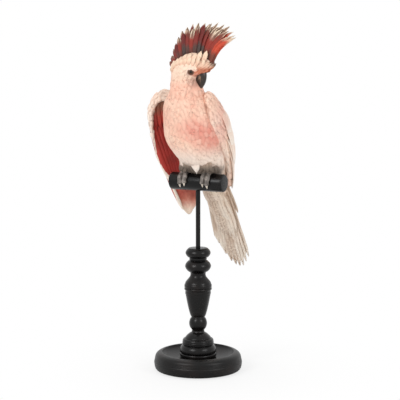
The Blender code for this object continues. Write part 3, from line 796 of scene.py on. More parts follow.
# Pairs of the place along the feather and its width there, from root to tip
OUTLINES = {
    "flight": ((0.0, 0.45), (0.25, 0.85), (0.7, 1.0), (0.95, 0.9), (1.0, 0.42)),
    "covert": ((0.0, 0.6), (0.35, 0.95), (0.7, 1.0), (0.9, 0.78), (1.0, 0.25)),
    "blade": ((0.0, 0.7), (0.3, 0.95), (0.62, 1.0), (0.86, 0.82), (0.96, 0.5), (1.0, 0.14)),
    "small": ((0.0, 0.7), (0.5, 1.0), (0.85, 0.72), (1.0, 0.2)),
    "tuft": ((0.0, 0.6), (0.3, 0.9), (0.6, 1.0), (0.85, 0.66), (1.0, 0.12)),
}
GRIDS = {"flight": (9, 4), "covert": (6, 4), "blade": (8, 4), "small": (4, 2), "tuft": (7, 4)}
blanks = [feather_blank(f"{kind}_blank", OUTLINES[kind], *GRIDS[kind]) for kind in OUTLINES]
flight_blank, covert_blank, blade_blank, small_blank, tuft_blank = blanks

# %% Laying a feather
chance = random.Random(7)


def lay(blank, root, bend, tip, face, width, thickness, curl=0.12, roll=0.0, share=0.0):
    """A copy of a blank along a curve, flat towards face, with its edges curled back."""
    mesh = blank.data.copy()
    points = np.empty(len(mesh.vertices) * 3)
    mesh.vertices.foreach_get("co", points)
    x, t, z = points.reshape(-1, 3).T[:, :, None]
    root, bend, tip, face = (np.array(place) for place in (root, bend, tip, face))
    line = root * (1 - t) ** 2 + bend * 2 * t * (1 - t) + tip * t**2
    way = 2 * (bend - root) * (1 - t) + 2 * (tip - bend) * t
    way /= np.linalg.norm(way, axis=1, keepdims=True)
    across = np.cross(way, face)
    across /= np.linalg.norm(across, axis=1, keepdims=True)
    out = np.cross(across, way)
    cos, sin = math.cos(roll), math.sin(roll)
    across, out = across * cos + out * sin, out * cos - across * sin
    rise = z * thickness - curl * width * (2 * x) ** 2 * t
    placed = line + across * x * width + out * rise
    mesh.vertices.foreach_set("co", placed.ravel())
    for name, value in (("tone", chance.random()), ("share", share)):
        layer = mesh.attributes.new(name, "FLOAT", "POINT")
        layer.data.foreach_set("value", np.full(len(mesh.vertices), value))
    obj = bpy.data.objects.new("feather", mesh)
    bpy.context.scene.collection.objects.link(obj)
    return obj


def plumage(name, feathers):
    """Feathers joined as one piece."""
    made = join(name, feathers)
    print(f"{name}: {len(feathers)} feathers, {triangles(made)} triangles")
    return made


# %% [markdown]
# ## Small feathers over a surface
# The casting is covered with small overlapping feathers, which no artist lays in rows. Points are
# thrown on the surface and kept only where they have enough room, which gives an even but
# irregular spread. A feather at each one follows the surface, from a root just under it to a tip
# just above it, and lies the way that the plumage flows there.

# %% Scattering points


def scatter(obj, room, throws, seed):
    """Places and normals spread over a mesh, each with the room in mm that it is given there."""
    obj.data.calc_loop_triangles()
    verts = obj.data.vertices
    corners = np.array([[verts[i].co for i in tri.vertices] for tri in obj.data.loop_triangles])
    one, two = corners[:, 1] - corners[:, 0], corners[:, 2] - corners[:, 0]
    normals = np.cross(one, two)
    areas = np.linalg.norm(normals, axis=1)
    normals /= areas[:, None]
    dice = np.random.default_rng(seed)
    picks = dice.choice(len(areas), throws, p=areas / areas.sum())
    a, b = dice.random((2, throws, 1))
    a, b = np.where(a + b > 1, 1 - a, a), np.where(a + b > 1, 1 - b, b)
    places = corners[picks, 0] + one[picks] * a + two[picks] * b
    kept = []
    taken = {}
    cell = 10 * MM
    for place, normal in zip(places, normals[picks]):
        place, normal = Vector(place), Vector(normal)
        gap = room(place)
        if not gap:
            continue
        key = tuple(int(v // cell) for v in place)
        near = (
            other
            for dx in (-1, 0, 1) for dy in (-1, 0, 1) for dz in (-1, 0, 1)
            for other in taken.get((key[0] + dx, key[1] + dy, key[2] + dz), ())
        )
        if any((other - place).length < gap * MM for other in near):
            continue
        taken.setdefault(key, []).append(place)
        kept.append((place, normal, gap))
    return kept


# %% Clothing a surface


def clothe(name, obj, room, flow, throws, lift=0.5, length=2.2, width=1.6, seed=3):
    """Small feathers all over a mesh. Length and width are in shares of each one's room."""
    graph = bpy.context.evaluated_depsgraph_get()
    graph.update()
    surface = BVHTree.FromObject(obj, graph)
    feathers = []
    for place, normal, gap in scatter(obj, room, throws, seed):
        way = flow(place)
        way = way - normal * way.dot(normal)
        if way.length < 0.1:
            continue
        way = Matrix.Rotation(chance.uniform(-0.2, 0.2), 3, normal) @ way.normalized()
        reach = gap * length * chance.uniform(0.9, 1.1) * MM
        root, root_normal, _, _ = surface.find_nearest(place - way * reach * 0.45)
        tip, tip_normal, _, _ = surface.find_nearest(place + way * reach * 0.55)
        if min(root_normal.dot(normal), tip_normal.dot(normal)) < 0.2:
            continue
        root = root - root_normal * 0.5 * MM
        tip = tip + tip_normal * lift * chance.uniform(0.6, 1.2) * MM
        bend = (place + normal * lift * 0.8 * MM) * 2 - (root + tip) / 2
        wide = gap * width * MM
        feathers.append(lay(small_blank, root, bend, tip, normal, wide, 0.9 * MM, 0.1))
    return plumage(name, feathers)


# %% Body feathers


def body_flow(place):
    """Down the body's own curve, and back from the beak on the head."""
    k = min(range(len(body_line)), key=lambda i: abs(body_line[i].z - place.z))
    head_share = max(0.0, min(1.0, (place.z - head_centre.z + 34 * MM) / (20 * MM)))
    return body_ways[k].lerp(-forward * 0.55 - up * 0.8, head_share)


def body_room(place):
    """Smaller feathers on the head, and none under the eyes, the beak, the legs and the perch."""
    offset = place - head_centre
    ahead, above = offset.dot(forward) / MM, offset.z / MM
    if above > -32:
        if any((place - eye).length < 6.5 * MM for eye, _ in eye_places):
            return 0
        if ahead > 13 and above < -5:
            return 0
        return 4.2
    height = (place.z - perch_top) / MM
    if height < 4 and place.y < 14 * MM or (abs(place.y) < 14 * MM and height < 9):
        return 0
    return 5.6 if height > 20 else 6.0


body_coat = clothe("body_feathers", skin, body_room, body_flow, 26000, 0.34, 2.0, 1.9)

# %% [markdown]
# ## The crest
# The crest is a fan in the head's own middle plane: short at the nape, long over the brow, with
# each blade bending forward. Its shape is a table of a few blades, which is resampled to make the
# close ones between. Cream feathers stand over their roots on both sides of the head.

# %% Crest blades
CREST = (  # root, bend and tip of a blade, each forward and up from the head's centre
    (-23, 1, -28, 8, -35, 14),
    (-21, 10, -26, 20, -29, 29),
    (-16, 16, -21, 31, -22.5, 44),
    (-9, 20, -12, 43, -14, 60),
    (0, 22, -1, 49, 1, 70),
    (9, 22, 10, 52, 17, 72.5),
    (18, 20, 21, 53, 35, 73),
    (26, 16, 29, 50, 53, 72.5),
    (32, 11, 36, 48, 69, 68.5),
    (35.5, 9, 41, 43, 79, 58),
    (37.5, 8, 45, 39, 81.2, 51),
)


def fan_blade(row, share, lean, width, shorter):
    """One blade, leaning so many mm to the side and drawn in by a share of its length."""
    root = on_head(row[0], row[1], lean)
    bend = on_head(row[2], row[3], lean * 1.1)
    tip = on_head(row[4], row[5] + 0.6 - chance.uniform(0, 2), lean * 0.5)
    tip = tip.lerp(root, shorter)
    roll = chance.uniform(-0.35, 0.35)
    return lay(blade_blank, root, bend, tip, right, width * MM, 1.4 * MM, 0.05, roll, share)


CREST_BLADES = 49
FRONT_BLADES = 0.84  # the share of the fan where its narrow front blades begin
blades = []
for i, row in enumerate(smooth_rows(CREST, CREST_BLADES)):
    share = i / (CREST_BLADES - 1)
    lean = (-0.5, 3.2, -3.4)[i % 3]
    shorter = (0.0, 0.15, 0.07)[i % 3] * (1 - 0.5 * share) + chance.uniform(0, 0.04)
    wide = (8.2, 6.6, 7.4)[i % 3] + 2.0 * share
    if share > FRONT_BLADES:
        wide *= 0.62
    blades.append(fan_blade(row, share, lean, wide, shorter))
crest = plumage("crest_blades", blades)

# %% Cream feathers over the roots of the crest
CROWN = (  # root on the side of the head, and tip against the crest
    (-16, 2.5, -28, 10.5),
    (-15, 4, -22, 16.5),
    (-9, 8, -13.5, 21),
    (-2, 10, -4, 24),
    (5, 11, 5.5, 26.5),
    (12, 10.5, 15, 28.5),
    (19, 9.5, 25, 31),
    (27, 7, 35, 31),
)
head_graph = bpy.context.evaluated_depsgraph_get()
head_tree = BVHTree.FromObject(skin, head_graph)


def beside_head(ahead, above, side):
    """The place on the head's skin that shows from the side, and its normal."""
    start = on_head(ahead, above, side * 60)
    hit, normal, _, _ = head_tree.ray_cast(start, right * -side)
    if hit is None:
        hit, normal, _, _ = head_tree.find_nearest(on_head(ahead, above, side * 8))
    return hit, normal


def over_skin(place, lift):
    """A place moved out, where it must be, to lie so many mm over the skin."""
    hit, normal, _, _ = head_tree.find_nearest(place)
    depth = (place - hit).dot(normal) / MM
    return place + normal * max(0.0, lift - depth) * MM


CROWN_LAYERS = (  # how many, lower root, shorter, aside, width
    (9, 0, 0.0, 6.5, 8.8),
    (10, 3, 0.35, 10, 8.0),
)
tufts = []
for count, drop, shorter, aside, wide in CROWN_LAYERS:
    for row in smooth_rows(CROWN, count):
        for side in (-1, 1):
            root, normal = beside_head(row[0], row[1] - drop, side)
            tip = on_head(row[2] + chance.uniform(-1, 1), row[3], side * aside)
            tip = over_skin(tip.lerp(root, shorter + chance.uniform(0, 0.14)), 0.9)
            middle = over_skin((root + tip) / 2, 1.2)
            root = root - normal * 1.2 * MM
            bend = middle * 2 - (root + tip) / 2
            face = right * side
            tufts.append(lay(covert_blank, root, bend, tip, face, wide * MM, 1.7 * MM, 0.15))
crown = plumage("crown_feathers", tufts)

# %% Feathers of the brow, which end in a dark point over the beak
brow_feathers = []
for count, low in ((6, 0), (7, -5)):
    for i in range(count):
        share = i / (count - 1)
        for side in (-1, 1):
            root, normal = beside_head(15 + 13 * share, 4 - 4 * share + low, side)
            ahead = 30 + (15.5 + 1.9 * low) * share
            tip = on_head(ahead, 18 - 6 * share + low * 1.7, side * (7.5 - 5 * share))
            bend = (root + tip) / 2 + (right * side * 1.8 + forward * 1.2) * MM
            root = root - normal * 0.9 * MM
            face = right * side
            brow_feathers.append(
                lay(tuft_blank, root, bend, tip, face, 5.6 * MM, 1.7 * MM, 0.14, 0, share)
            )
brow = plumage("brow_feathers", brow_feathers)

# %% [markdown]
# ## Wings
# A wing is a thin blade between its leading and trailing edges. Small feathers cover its shoulder
# and leading edge, longer ones lie on its faces like tiles, each row over the roots of the next,
# and the flight feathers run out past its end.

# %% A wing's surface and its blade


def wing_table(sections, count=60):
    """Close sections: both edges, thickness, camber, the way outward and the way down."""
    rows = []
    for row in smooth_rows(sections, count):
        rows.append((on_bird(*row[0:3]), on_bird(*row[3:6]), row[6] * MM, row[7] * MM))
    middles = [(lead + trail) / 2 for lead, trail, _, _ in rows]
    table = []
    for (lead, trail, thick, camber), way in zip(rows, tangents(middles)):
        outward = (trail - lead).cross(way).normalized()
        if outward.x * (lead.x + trail.x) < 0:
            outward.negate()
        table.append((lead, trail, thick, camber, outward, way))
    return table


PAST_END = 190  # mm for each whole span that a feather runs on past the wing's end


def wing_spot(table, span, chord, face, lift):
    """A place on a wing, and its normal. Span 0 is the shoulder, chord 0 the leading edge."""
    at = max(0.0, min(0.9999, span)) * (len(table) - 1)
    k = int(at)
    one, two = table[k], table[k + 1]
    lead, trail, outward, way = (one[i].lerp(two[i], at - k) for i in (0, 1, 4, 5))
    thick = one[2] + (two[2] - one[2]) * (at - k)
    camber = one[3] + (two[3] - one[3]) * (at - k)
    c = 2 * chord - 1
    rise = camber * (1 - c * c) + face * thick / 2 * math.sqrt(max(0.0, 1 - min(1.0, c * c)))
    spot = lead.lerp(trail, chord) + outward * (rise + face * lift * MM)
    if span > 1:
        spot += way * (span - 1) * PAST_END * MM
    return spot, outward * face


def wing_blade(name, table, thin, last):
    """The blade as far as one of its sections, thinner than the whole wing by a share."""
    rings = []
    for lead, trail, thick, camber, outward, _ in table[:last]:
        half = (trail - lead) / 2
        rings.append(oval((lead + trail) / 2, half, outward * thick * thin / 2, 40, outward * camber))
    return grown(name, rings)


def wing_flow(table):
    """Down the wing, from the row of its table that is nearest."""

    def flow(place):
        row = min(table, key=lambda entry: (entry[0] - place).length_squared)
        return row[5]

    return flow


open_table = wing_table(OPEN_WING)
folded_table = wing_table(FOLDED_WING)

# %% Rows of feathers on a face of a wing


def wing_feather(table, blank, root, tip, face, width, lift, thickness=1.5, share=0.0):
    """One feather on a wing. Root and tip are (span, chord)."""
    start, _ = wing_spot(table, *root, face, 0.2)
    middle, out = wing_spot(table, (root[0] + tip[0]) / 2, (root[1] + tip[1]) / 2, face, lift)
    end, _ = wing_spot(table, *tip, face, lift * 0.6)
    bend = middle * 2 - (start + end) / 2
    return lay(blank, start, bend, end, out, width * MM, thickness * MM, 0.1, 0.0, share)


def covert_rows(table, face, rows):
    """Rows of coverts: span, how many, first and last chord, length in span, width, lift."""
    out = []
    for number, (span, count, first, last, length, width, lift) in enumerate(rows):
        for i in range(count):
            chord = first + (last - first) * (i + 0.5 * (number % 2)) / count
            start = span + chance.uniform(-0.008, 0.008)
            tip = (start + length * chance.uniform(0.94, 1.06), chord + 0.03)
            out.append(wing_feather(table, covert_blank, (start, chord), tip, face, width, lift))
    return out


def flight_fan(table, face, count, roots, tips, width, lift):
    """Long feathers side by side. Roots and tips give (span, chord) at the leading side and behind."""
    out = []
    for i in range(count):
        share = i / (count - 1)
        root = [a + (b - a) * share for a, b in zip(*roots)]
        tip = [a + (b - a) * share for a, b in zip(*tips)]
        tip[0] += 0.05 * math.sin(math.pi * share)
        height = lift - 0.9 * share
        out.append(wing_feather(table, flight_blank, root, tip, face, width, height, 1.8))
    return out


# %% The open wing: blade and arm
open_blade = wing_blade("open_blade", open_table, 0.45, 48)
ARM = (  # X, Y, height, radius
    (-18, -14, 98, 9), (-36, -8, 112, 9.5), (-53, -7, 118, 8), (-66, -9, 114, 6.4),
    (-75, -11, 102, 5.0), (-78.3, -10, 86, 3.8), (-80, -5, 66, 2.0), (-80.5, 2, 46, 1.2),
    (-78, 11, 24, 1.0),
)
arm_rows = smooth_rows(ARM, 34)
arm_line = [on_bird(*row[:3]) for row in arm_rows]
arm = limb("arm", arm_line, [row[3] * MM for row in arm_rows], 20, Vector((0, 1, 0)))
open_frame = join("open_wing_blade", [open_blade, arm])

# %% The open wing: small feathers on its leading edge, coverts and flight feathers on both faces


def edge_room(place):
    """Small feathers where the wing is near its arm."""
    height = (place.z - perch_top) / MM
    near = min((place - point).length for point in arm_line[4:])
    reach = 11 if height > 92 else 8
    return 4.6 if near < reach * MM and height > 52 else 0


open_coat = clothe("open_wing_edge_feathers", open_frame, edge_room, wing_flow(open_table), 9000, 0.5)

UPPER, LOWER = 1, -1  # the two faces of a wing: its back, and the side with the lining
back = flight_fan(
    open_table, UPPER, 11, ((0.42, 0.04), (0.50, 0.96)), ((1.0, 0.06), (0.97, 0.94)), 8.6, 2.0
)
back += flight_fan(
    open_table, UPPER, 10, ((0.32, 0.02), (0.36, 0.95)), ((0.74, 0.02), (0.72, 0.97)), 9, 2.4
)
back += covert_rows(open_table, UPPER, [
    (0.29, 8, 0.06, 0.98, 0.20, 11.5, 3.2), (0.22, 8, 0.06, 0.98, 0.17, 10.5, 3.3),
    (0.16, 7, 0.06, 0.98, 0.15, 10, 3.3), (0.10, 7, 0.06, 0.98, 0.13, 9, 3.1),
    (0.05, 6, 0.10, 0.95, 0.11, 8, 2.8),
])
open_outer = plumage("open_wing_back_feathers", back)

lining = flight_fan(
    open_table, LOWER, 11, ((0.42, 0.02), (0.46, 0.94)), ((1.0, 0.04), (0.99, 0.96)), 8.4, 1.4
)
lining += flight_fan(
    open_table, LOWER, 10, ((0.30, 0.04), (0.32, 0.94)), ((0.70, 0.02), (0.72, 0.95)), 8.8, 1.5
)
for i in range(16):  # pale feathers that wrap the leading edge
    span = 0.36 + 0.038 * i
    root = (span - 0.09, 0.02 + chance.uniform(-0.02, 0.03))
    tip = (span + 0.07, 0.01 - 0.12 * max(0, span - 0.5))
    wide = chance.uniform(3.6, 6.0)
    lining.append(wing_feather(open_table, tuft_blank, root, tip, LOWER, wide, 2.0, 1.8, 1.0))
lining += covert_rows(open_table, LOWER, [
    (0.24, 8, 0.12, 0.96, 0.20, 9.0, 2.1), (0.17, 7, 0.14, 0.96, 0.16, 8.5, 2.1),
    (0.11, 7, 0.16, 0.96, 0.13, 8, 2.0), (0.06, 6, 0.20, 0.94, 0.11, 7.5, 1.8),
])
open_inner = plumage("open_wing_lining_feathers", lining)

# %% The folded wing: coat, coverts and long flight feathers
folded_blade = wing_blade("folded_wing_blade", folded_table, 0.94, 57)


def folded_room(place):
    """Feathers that get larger down the wing."""
    height = (place.z - perch_top) / MM
    if height > 78:
        return 4.6
    return 5.6 if height > 30 else 6.4


folded_flow = wing_flow(folded_table)
folded_coat = clothe(
    "folded_wing_small_feathers", folded_blade, folded_room, folded_flow, 12000, 0.7, 2.4, 1.5
)
folded_feathers = flight_fan(
    folded_table, UPPER, 8, ((0.48, 0.22), (0.52, 0.95)), ((0.97, 0.16), (0.93, 0.97)), 11.0, 1.7
)
folded_feathers += covert_rows(folded_table, UPPER, [
    (0.44, 8, 0.26, 1.0, 0.24, 10.5, 2.0), (0.34, 7, 0.32, 1.0, 0.19, 10, 2.1),
    (0.25, 7, 0.38, 1.0, 0.16, 9.5, 2.1),
])
EDGE_FEATHERS = 9  # down the outer edge, one over the next
for i in range(EDGE_FEATHERS):
    t = i / (EDGE_FEATHERS - 1)
    root = on_bird(41 - 7 * t, 6 + 27 * t, 76 - 50 * t)
    tip = on_bird(45.5 - 16.5 * t, 34 + 24 * t, 32 - 56 * t)
    bend = (root + tip) / 2 + Vector((5.5, 1.5, 0)) * MM
    face = Vector((0.85, 0.45, 0.1))
    folded_feathers.append(lay(flight_blank, root, bend, tip, face, 11 * MM, 2.0 * MM, 0.1, 0.15))
folded = plumage("folded_wing_feathers", folded_feathers)

# %% [markdown]
# ## The tail
# The tail's long feathers lie side by side in one plane, each a little under the next, the longest
# just off the middle. Shorter coverts cover their roots above and below.

# %% Tail feathers
TAIL_SLOPE = math.radians(30)  # off the vertical
tail_down = Vector((0, math.sin(TAIL_SLOPE), -math.cos(TAIL_SLOPE)))
tail_back = Vector((0, math.cos(TAIL_SLOPE), math.sin(TAIL_SLOPE)))
tail_root = on_bird(2, 44, -8)


def tail_place(aside, down, lift):
    """A place on the tail: mm to the side, down from its root, and in front of its plane."""
    return tail_root + (Vector((aside, 0, 0)) + tail_down * down - tail_back * lift) * MM


def tail_feather(offset, length, lift, width, roll=0.0):
    """A feather of the tail, so many places off its middle, and so many mm before its plane."""
    start = tail_place(offset * 3.6, 0, lift - abs(offset) * 0.7)
    end = tail_place(offset * 7.0 + 1, length, lift * 0.6 + chance.uniform(-0.6, 0.6))
    bend = (start + end) / 2 + tail_back * 3 * MM
    face = tail_back + Vector((0.12 * offset, 0, 0))
    return lay(flight_blank, start, bend, end, face, width * MM, 2.0 * MM, 0.1, roll)


TAIL_LENGTHS = (138, 160, 174, 180, 182, 180, 171, 160)
tail_feathers = []
for i, length in enumerate(TAIL_LENGTHS):
    tail_feathers.append(tail_feather(i - 3.4, length, 0.3 * i, 13.5, 0.1))
for i, length in enumerate(TAIL_LENGTHS[1:]):
    tail_feathers.append(tail_feather(i - 2.9, length - 12, -2.0, 12.5, 0.1))
for number, (length, lift) in enumerate(((126, -3.4), (92, -4.6), (64, -5.8))):
    for i in range(-3, 4):
        tail_feathers.append(tail_feather(i + 0.5 * (number % 2), length - 2 * i * i, lift, 12))

# %% Coverts under the tail, which run on from the belly and hide the rump
COVERT_ASIDE = 12  # mm, half the width of a row at its roots
for top_y, top_height, down, count, sag in (
    (16, -12, 62, 7, (0, -2, -6)), (34, -27, 88, 6, (0, -2, -6)), (48, -40, 118, 6, (0, 0, -2)),
):
    for i in range(count):
        place = 2 * i / (count - 1) - 1
        aside = place * COVERT_ASIDE
        root = on_bird(8 + aside, top_y + 5 * place * place, top_height)
        length = down + chance.uniform(-6, 6) - 8 * place * place
        tip = tail_place(2 + aside * 1.25, length, 3.4)
        middle = (root + tip) / 2 + Vector(sag) * MM
        bend = middle * 2 - (root + tip) / 2
        face = -tail_back
        tail_feathers.append(
            lay(covert_blank, root, bend, tip, face, 10.5 * MM, 2.0 * MM, 0.12)
        )
tail = plumage("tail_feathers", tail_feathers)

# %% [markdown]
# ## Feet
# Two toes go forward over the bar and two back, as on all parrots. Each is a limb bent round the
# bar from the ankle, swollen at its joints, with a pale claw of its own at the end. Grey-brown
# feathers of the leg hang over the ankles, and a white point of the belly hangs between them.

# %% Toes and claws
FOOT_ASIDE = 19.75  # mm from the middle of the perch bar
TOE_ASIDE = 3.7  # mm from the middle of the foot
TOE_RADIUS, TOE_END, TOE_AXIS = 3.8, 2.6, 2.8  # mm, the last one above the bar's surface
TOE_KNUCKLES = 3
TOE_STEPS, CLAW_STEPS = 22, 10


def round_bar(foot_x, spread, start, end, first, last, steps):
    """Points round the perch bar between two shares of a toe's length."""
    points = []
    for i in range(steps + 1):
        t = first + (last - first) * i / steps
        angle = math.radians(start + (end - start) * t)
        reach = perch_radius + TOE_AXIS * MM
        x = foot_x + spread * min(1.0, t * 2.2)
        points.append(Vector((x, -reach * math.cos(angle), perch_axis + reach * math.sin(angle))))
    return points


def toe_radius(i):
    swell = 0.10 * math.cos(i / TOE_STEPS * 2 * TOE_KNUCKLES * math.pi)
    return TOE_RADIUS * MM * (1 + swell)


toes = []
claws = []
for side in (-1, 1):
    foot_x = side * FOOT_ASIDE * MM
    for spread in (-TOE_ASIDE * MM, TOE_ASIDE * MM):
        lowest = -30 if spread * side > 0 else -22
        for start, end in ((106, lowest), (74, 204)):  # degrees round the bar: front toe, back toe
            line = round_bar(foot_x, spread, start, end, 0.0, 0.86, TOE_STEPS)
            radii = [toe_radius(i) for i in range(TOE_STEPS)] + [TOE_END * MM]
            toes.append(limb("toe", line, radii, 16))
            line = round_bar(foot_x, spread, start, end, 0.79, 1.0, CLAW_STEPS)
            radii = [(TOE_END * (1 - i / CLAW_STEPS) + 0.35) * MM for i in range(CLAW_STEPS + 1)]
            claws.append(limb("claw", line, radii, 14))
    ankle = [on_bird(side * FOOT_ASIDE, 0.5, height) for height in (10, 5, 1.2)]
    toes.append(limb("ankle", ankle, [7.0 * MM, 6.6 * MM, 5.6 * MM], 18))
feet = join("feet", toes)
talons = join("claws", claws)
print("feet:", triangles(feet) + triangles(talons), "triangles")

# %% Feathers over the ankles, and the belly's point
LEG_RINGS = ((20, 2, 7.5), (15, 0, 6.5), (11, 0.5, 6))  # heights of root and tip, and the width
IN_RING = 14
leggings = []
for side in (-1, 1):
    for ring, (high, low, wide) in enumerate(LEG_RINGS):
        for i in range(IN_RING):
            angle = 2 * math.pi * (i + 0.5 * ring) / IN_RING
            out = Vector((math.cos(angle), math.sin(angle), 0))
            centre = on_bird(side * 19 + 2, 0, 0)
            root = centre + out * 10 * MM + up * high * MM
            tip = centre + out * (14.5 - 1.5 * ring) * MM
            tip = tip + up * (low + chance.uniform(-1, 3)) * MM
            bend = (root + tip) / 2 + out * 3.0 * MM
            leggings.append(lay(tuft_blank, root, bend, tip, out, wide * MM, 1.4 * MM, 0.12))
front_face = Vector((0, -1, 0.1))
for i in range(9):
    root = on_bird(-12 + 5.4 * i, -21 + 0.6 * abs(i - 3), 19)
    tip = on_bird(-13 + 5.5 * i, -14, 2.5 + chance.uniform(-1, 2))
    bend = (root + tip) / 2 + Vector((0, -5, -1)) * MM
    leggings.append(lay(tuft_blank, root, bend, tip, front_face, 7 * MM, 1.5 * MM, 0.12))
legs = plumage("leg_feathers", leggings)

points = []
for aside, low in ((0, -3.5), (-3, 1), (3, 1), (-1.5, -1.5), (1.5, -1)):
    root = on_bird(7 + aside * 2, -24, 24)
    tip = on_bird(7 + aside, -17, low + 4)
    bend = (root + tip) / 2 + Vector((0, -4, -1)) * MM
    points.append(lay(tuft_blank, root, bend, tip, front_face, 6 * MM, 1.8 * MM, 0.14))
belly_point = plumage("belly_point", points)

# %% [markdown]
# ## Black paint
# The stand is satin black over wood. Up close such paint is never one black: it is browner where
# it is thin, rougher in some patches than others, and the lathe's fine lines show through it. The
# wide base is a little rougher than the rest.

# %% Black finishes


def black_paint(name, grain_scale, lines, least=0.17):
    """Satin black with so much of the lathe's lines, and at least so rough."""
    finish = Finish(name, 0.4)
    finish.shader.inputs["Specular IOR Level"].default_value = 0.22
    patches = finish.noise(38, 4)
    fine = finish.noise(grain_scale, 6, 0.65)
    finish.colour(finish.coats(
        srgb(11, 10, 10),
        (finish.ease(patches, 0.45, 0.75) * 0.6, 30, 22, 19),
        (finish.ease(fine, 0.6, 0.8) * 0.25, 52, 46, 43),
    ))
    finish.roughness(patches * 0.12 + fine * 0.08 + least)
    rings = (finish.axes()[2] * 2400).math("SINE") * 0.5 + 0.5
    finish.relief(fine * 0.7 + rings * lines, 0.1 * MM)
    return finish.material


stand_black = black_paint("satin_black_turning", 420, 0.25)
base_black = black_paint("satin_black_base", 420, 0.25, least=0.27)
bar_black = black_paint("satin_black_bar", 300, 0.0)
rod_black = black_paint("satin_black_rod", 700, 0.0)

felt_finish = Finish("pressed_felt", 0.95)
fibres = felt_finish.noise(2600, 5, 0.7)
felt_finish.colour(felt_finish.coats(srgb(20, 20, 22), (fibres, 52, 52, 56)))
felt_finish.relief(fibres, 0.2 * MM)

zinc = Finish("zinc_plate", 0.3, metallic=1.0)
spots = zinc.noise(900, 4)
zinc.colour(zinc.coats(srgb(150, 152, 156), (spots, 196, 198, 202)))
zinc.roughness(0.26 + spots * 0.2)

dress(column, stand_black, "column")
dress(base, base_black, "base_disc")
dress(bar, bar_black, "perch_bar")
dress(rod, rod_black, "stem_rod")
dress(felt, felt_finish.material, "base_felt")
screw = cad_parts["base_screw"]
screw.data.materials.clear()
screw.data.materials.append(zinc.material)

# %% [markdown]
# ## Painted plumage
# The body is peach over cream. The painter blushed the breast beside the folded wing, left the
# belly nearly white, put an orange band over the beak and greyed the legs. Painted shade darkens
# the crease beside the folded wing, the band's lower edge under the brow and the face under the
# beak. Skin and small feathers share these colours, so they are one function, which works from the
# place in space.

# %% The colours of the body


def head_plane(finish):
    """How far forward of the head's centre a place is, and how far above it, in mm."""
    return finish.along(forward, head_centre), finish.along(up, head_centre)


# Painted shade runs along this line, in the body's paint and in the wings' paint.
CREASE = [on_bird(*place) for place in (  # where the folded wing lies against the breast
    (35, -40, 106), (37, -37, 88), (38, -30, 70), (39, -18, 50), (42, 0, 30), (44, 12, 12),
)]
BAND_START, BAND_LENGTH, BAND_HEIGHT, BAND_RISE = 18, 19, -4, 3.5  # mm, the band over the beak


def peach(finish):
    """The body's colours and its painted shade, from the first coat to the last."""
    ahead, above = head_plane(finish)
    lift = (finish.axes()[2] - perch_top) * 1000
    fine_cloud = finish.noise(64, 3, 0.6)
    neck = finish.ease(lift, 108, 124) * finish.fade(above, -26, -8)
    blush = finish.near(on_bird(13, -48, 72), 2 * MM, 27 * MM) * 0.75
    blush = blush + finish.near(on_bird(38, -28, 64), 5 * MM, 46 * MM) * 0.9
    behind = finish.along(Vector((0, 1, 0)), (0, 0, 0))
    rump = finish.ease(behind, 8, 30) * finish.fade(lift, 30, 70)
    nape = finish.fade(ahead, -26, -12) * finish.ease(above, -30, -10) * finish.fade(above, 2, 14)
    paint = finish.coats(
        srgb(249, 210, 186),
        (finish.ease(finish.noise(17, 4, 0.6), 0.38, 0.66), 240, 184, 161),
        (finish.ease(fine_cloud, 0.5, 0.75) * 0.4, 233, 160, 138),
        (neck * 0.6, 238, 172, 148),
        (blush.clamped(), 222, 130, 114),
        # Painted shade down the crease beside the folded wing.
        (finish.beside(CREASE, 1 * MM, 7 * MM) * 0.6, 176, 112, 88),
        (finish.fade(lift, 20, 50) * 0.95, 248, 230, 216),
        (rump, 226, 204, 184),
        (finish.ease(above, -24, -2) * 0.8, 250, 222, 198),
        (nape * 0.6, 238, 176, 152),
    )
    for place, _ in eye_places:
        bare = finish.near(place, 5 * MM, 8 * MM)
        rim = bare * finish.ease(1 - bare, 0.5, 0.9)
        paint = finish.coats(paint, (bare * 0.7, 252, 226, 210), (rim, 160, 122, 106))
    t = ((ahead - BAND_START) / BAND_LENGTH).clamped()
    off_ahead = ahead - BAND_START - t * BAND_LENGTH
    off_above = above - BAND_HEIGHT - t * BAND_RISE
    off = (off_ahead**2 + off_above**2).root()
    # Painted shade along the lower edge of the orange band, under the brow's overhang.
    edge = finish.fade(off, 3.0, 8.0) * finish.fade(above, -8, -4) * finish.ease(ahead, 14, 19)
    # Painted shadow under the beak, on both sides of the face.
    under_beak_shadow_places = (on_head(13, -17, 10), on_head(13, -17, -10))
    under_beak_shadow = sum((finish.near(place, 4 * MM, 13 * MM) for place in under_beak_shadow_places), start=0)
    legs = finish.fade(lift + (fine_cloud - 0.5) * 16, 8, 19)
    legs = legs * finish.near(on_bird(6, -4, 4), 30 * MM, 44 * MM)
    return finish.coats(
        paint,
        (finish.fade(off, 1.5, 6.5) * 0.85, 220, 108, 66),
        (edge * 0.8, 122, 58, 34),
        (under_beak_shadow.clamped() * 0.5, 150, 92, 80),
        (legs * 0.85, 100, 86, 74),
    )


# %% Skin and small feathers of the body
skin_finish = Finish("peach_skin", 0.5)
skin_grain = skin_finish.noise(520, 5, 0.7)
barbs = skin_finish.noise(900, 3, 0.6, skin_finish.stretched(1.0, 1.0, 0.16))
pores = skin_finish.ease(skin_grain, 0.55, 0.75) * 0.3
skin_finish.colour(skin_finish.coats(peach(skin_finish), (pores, 190, 128, 104)))
skin_finish.roughness(0.46 + skin_grain * 0.16)
skin_finish.relief(barbs * 0.6 + skin_grain * 0.4, 0.5 * MM)


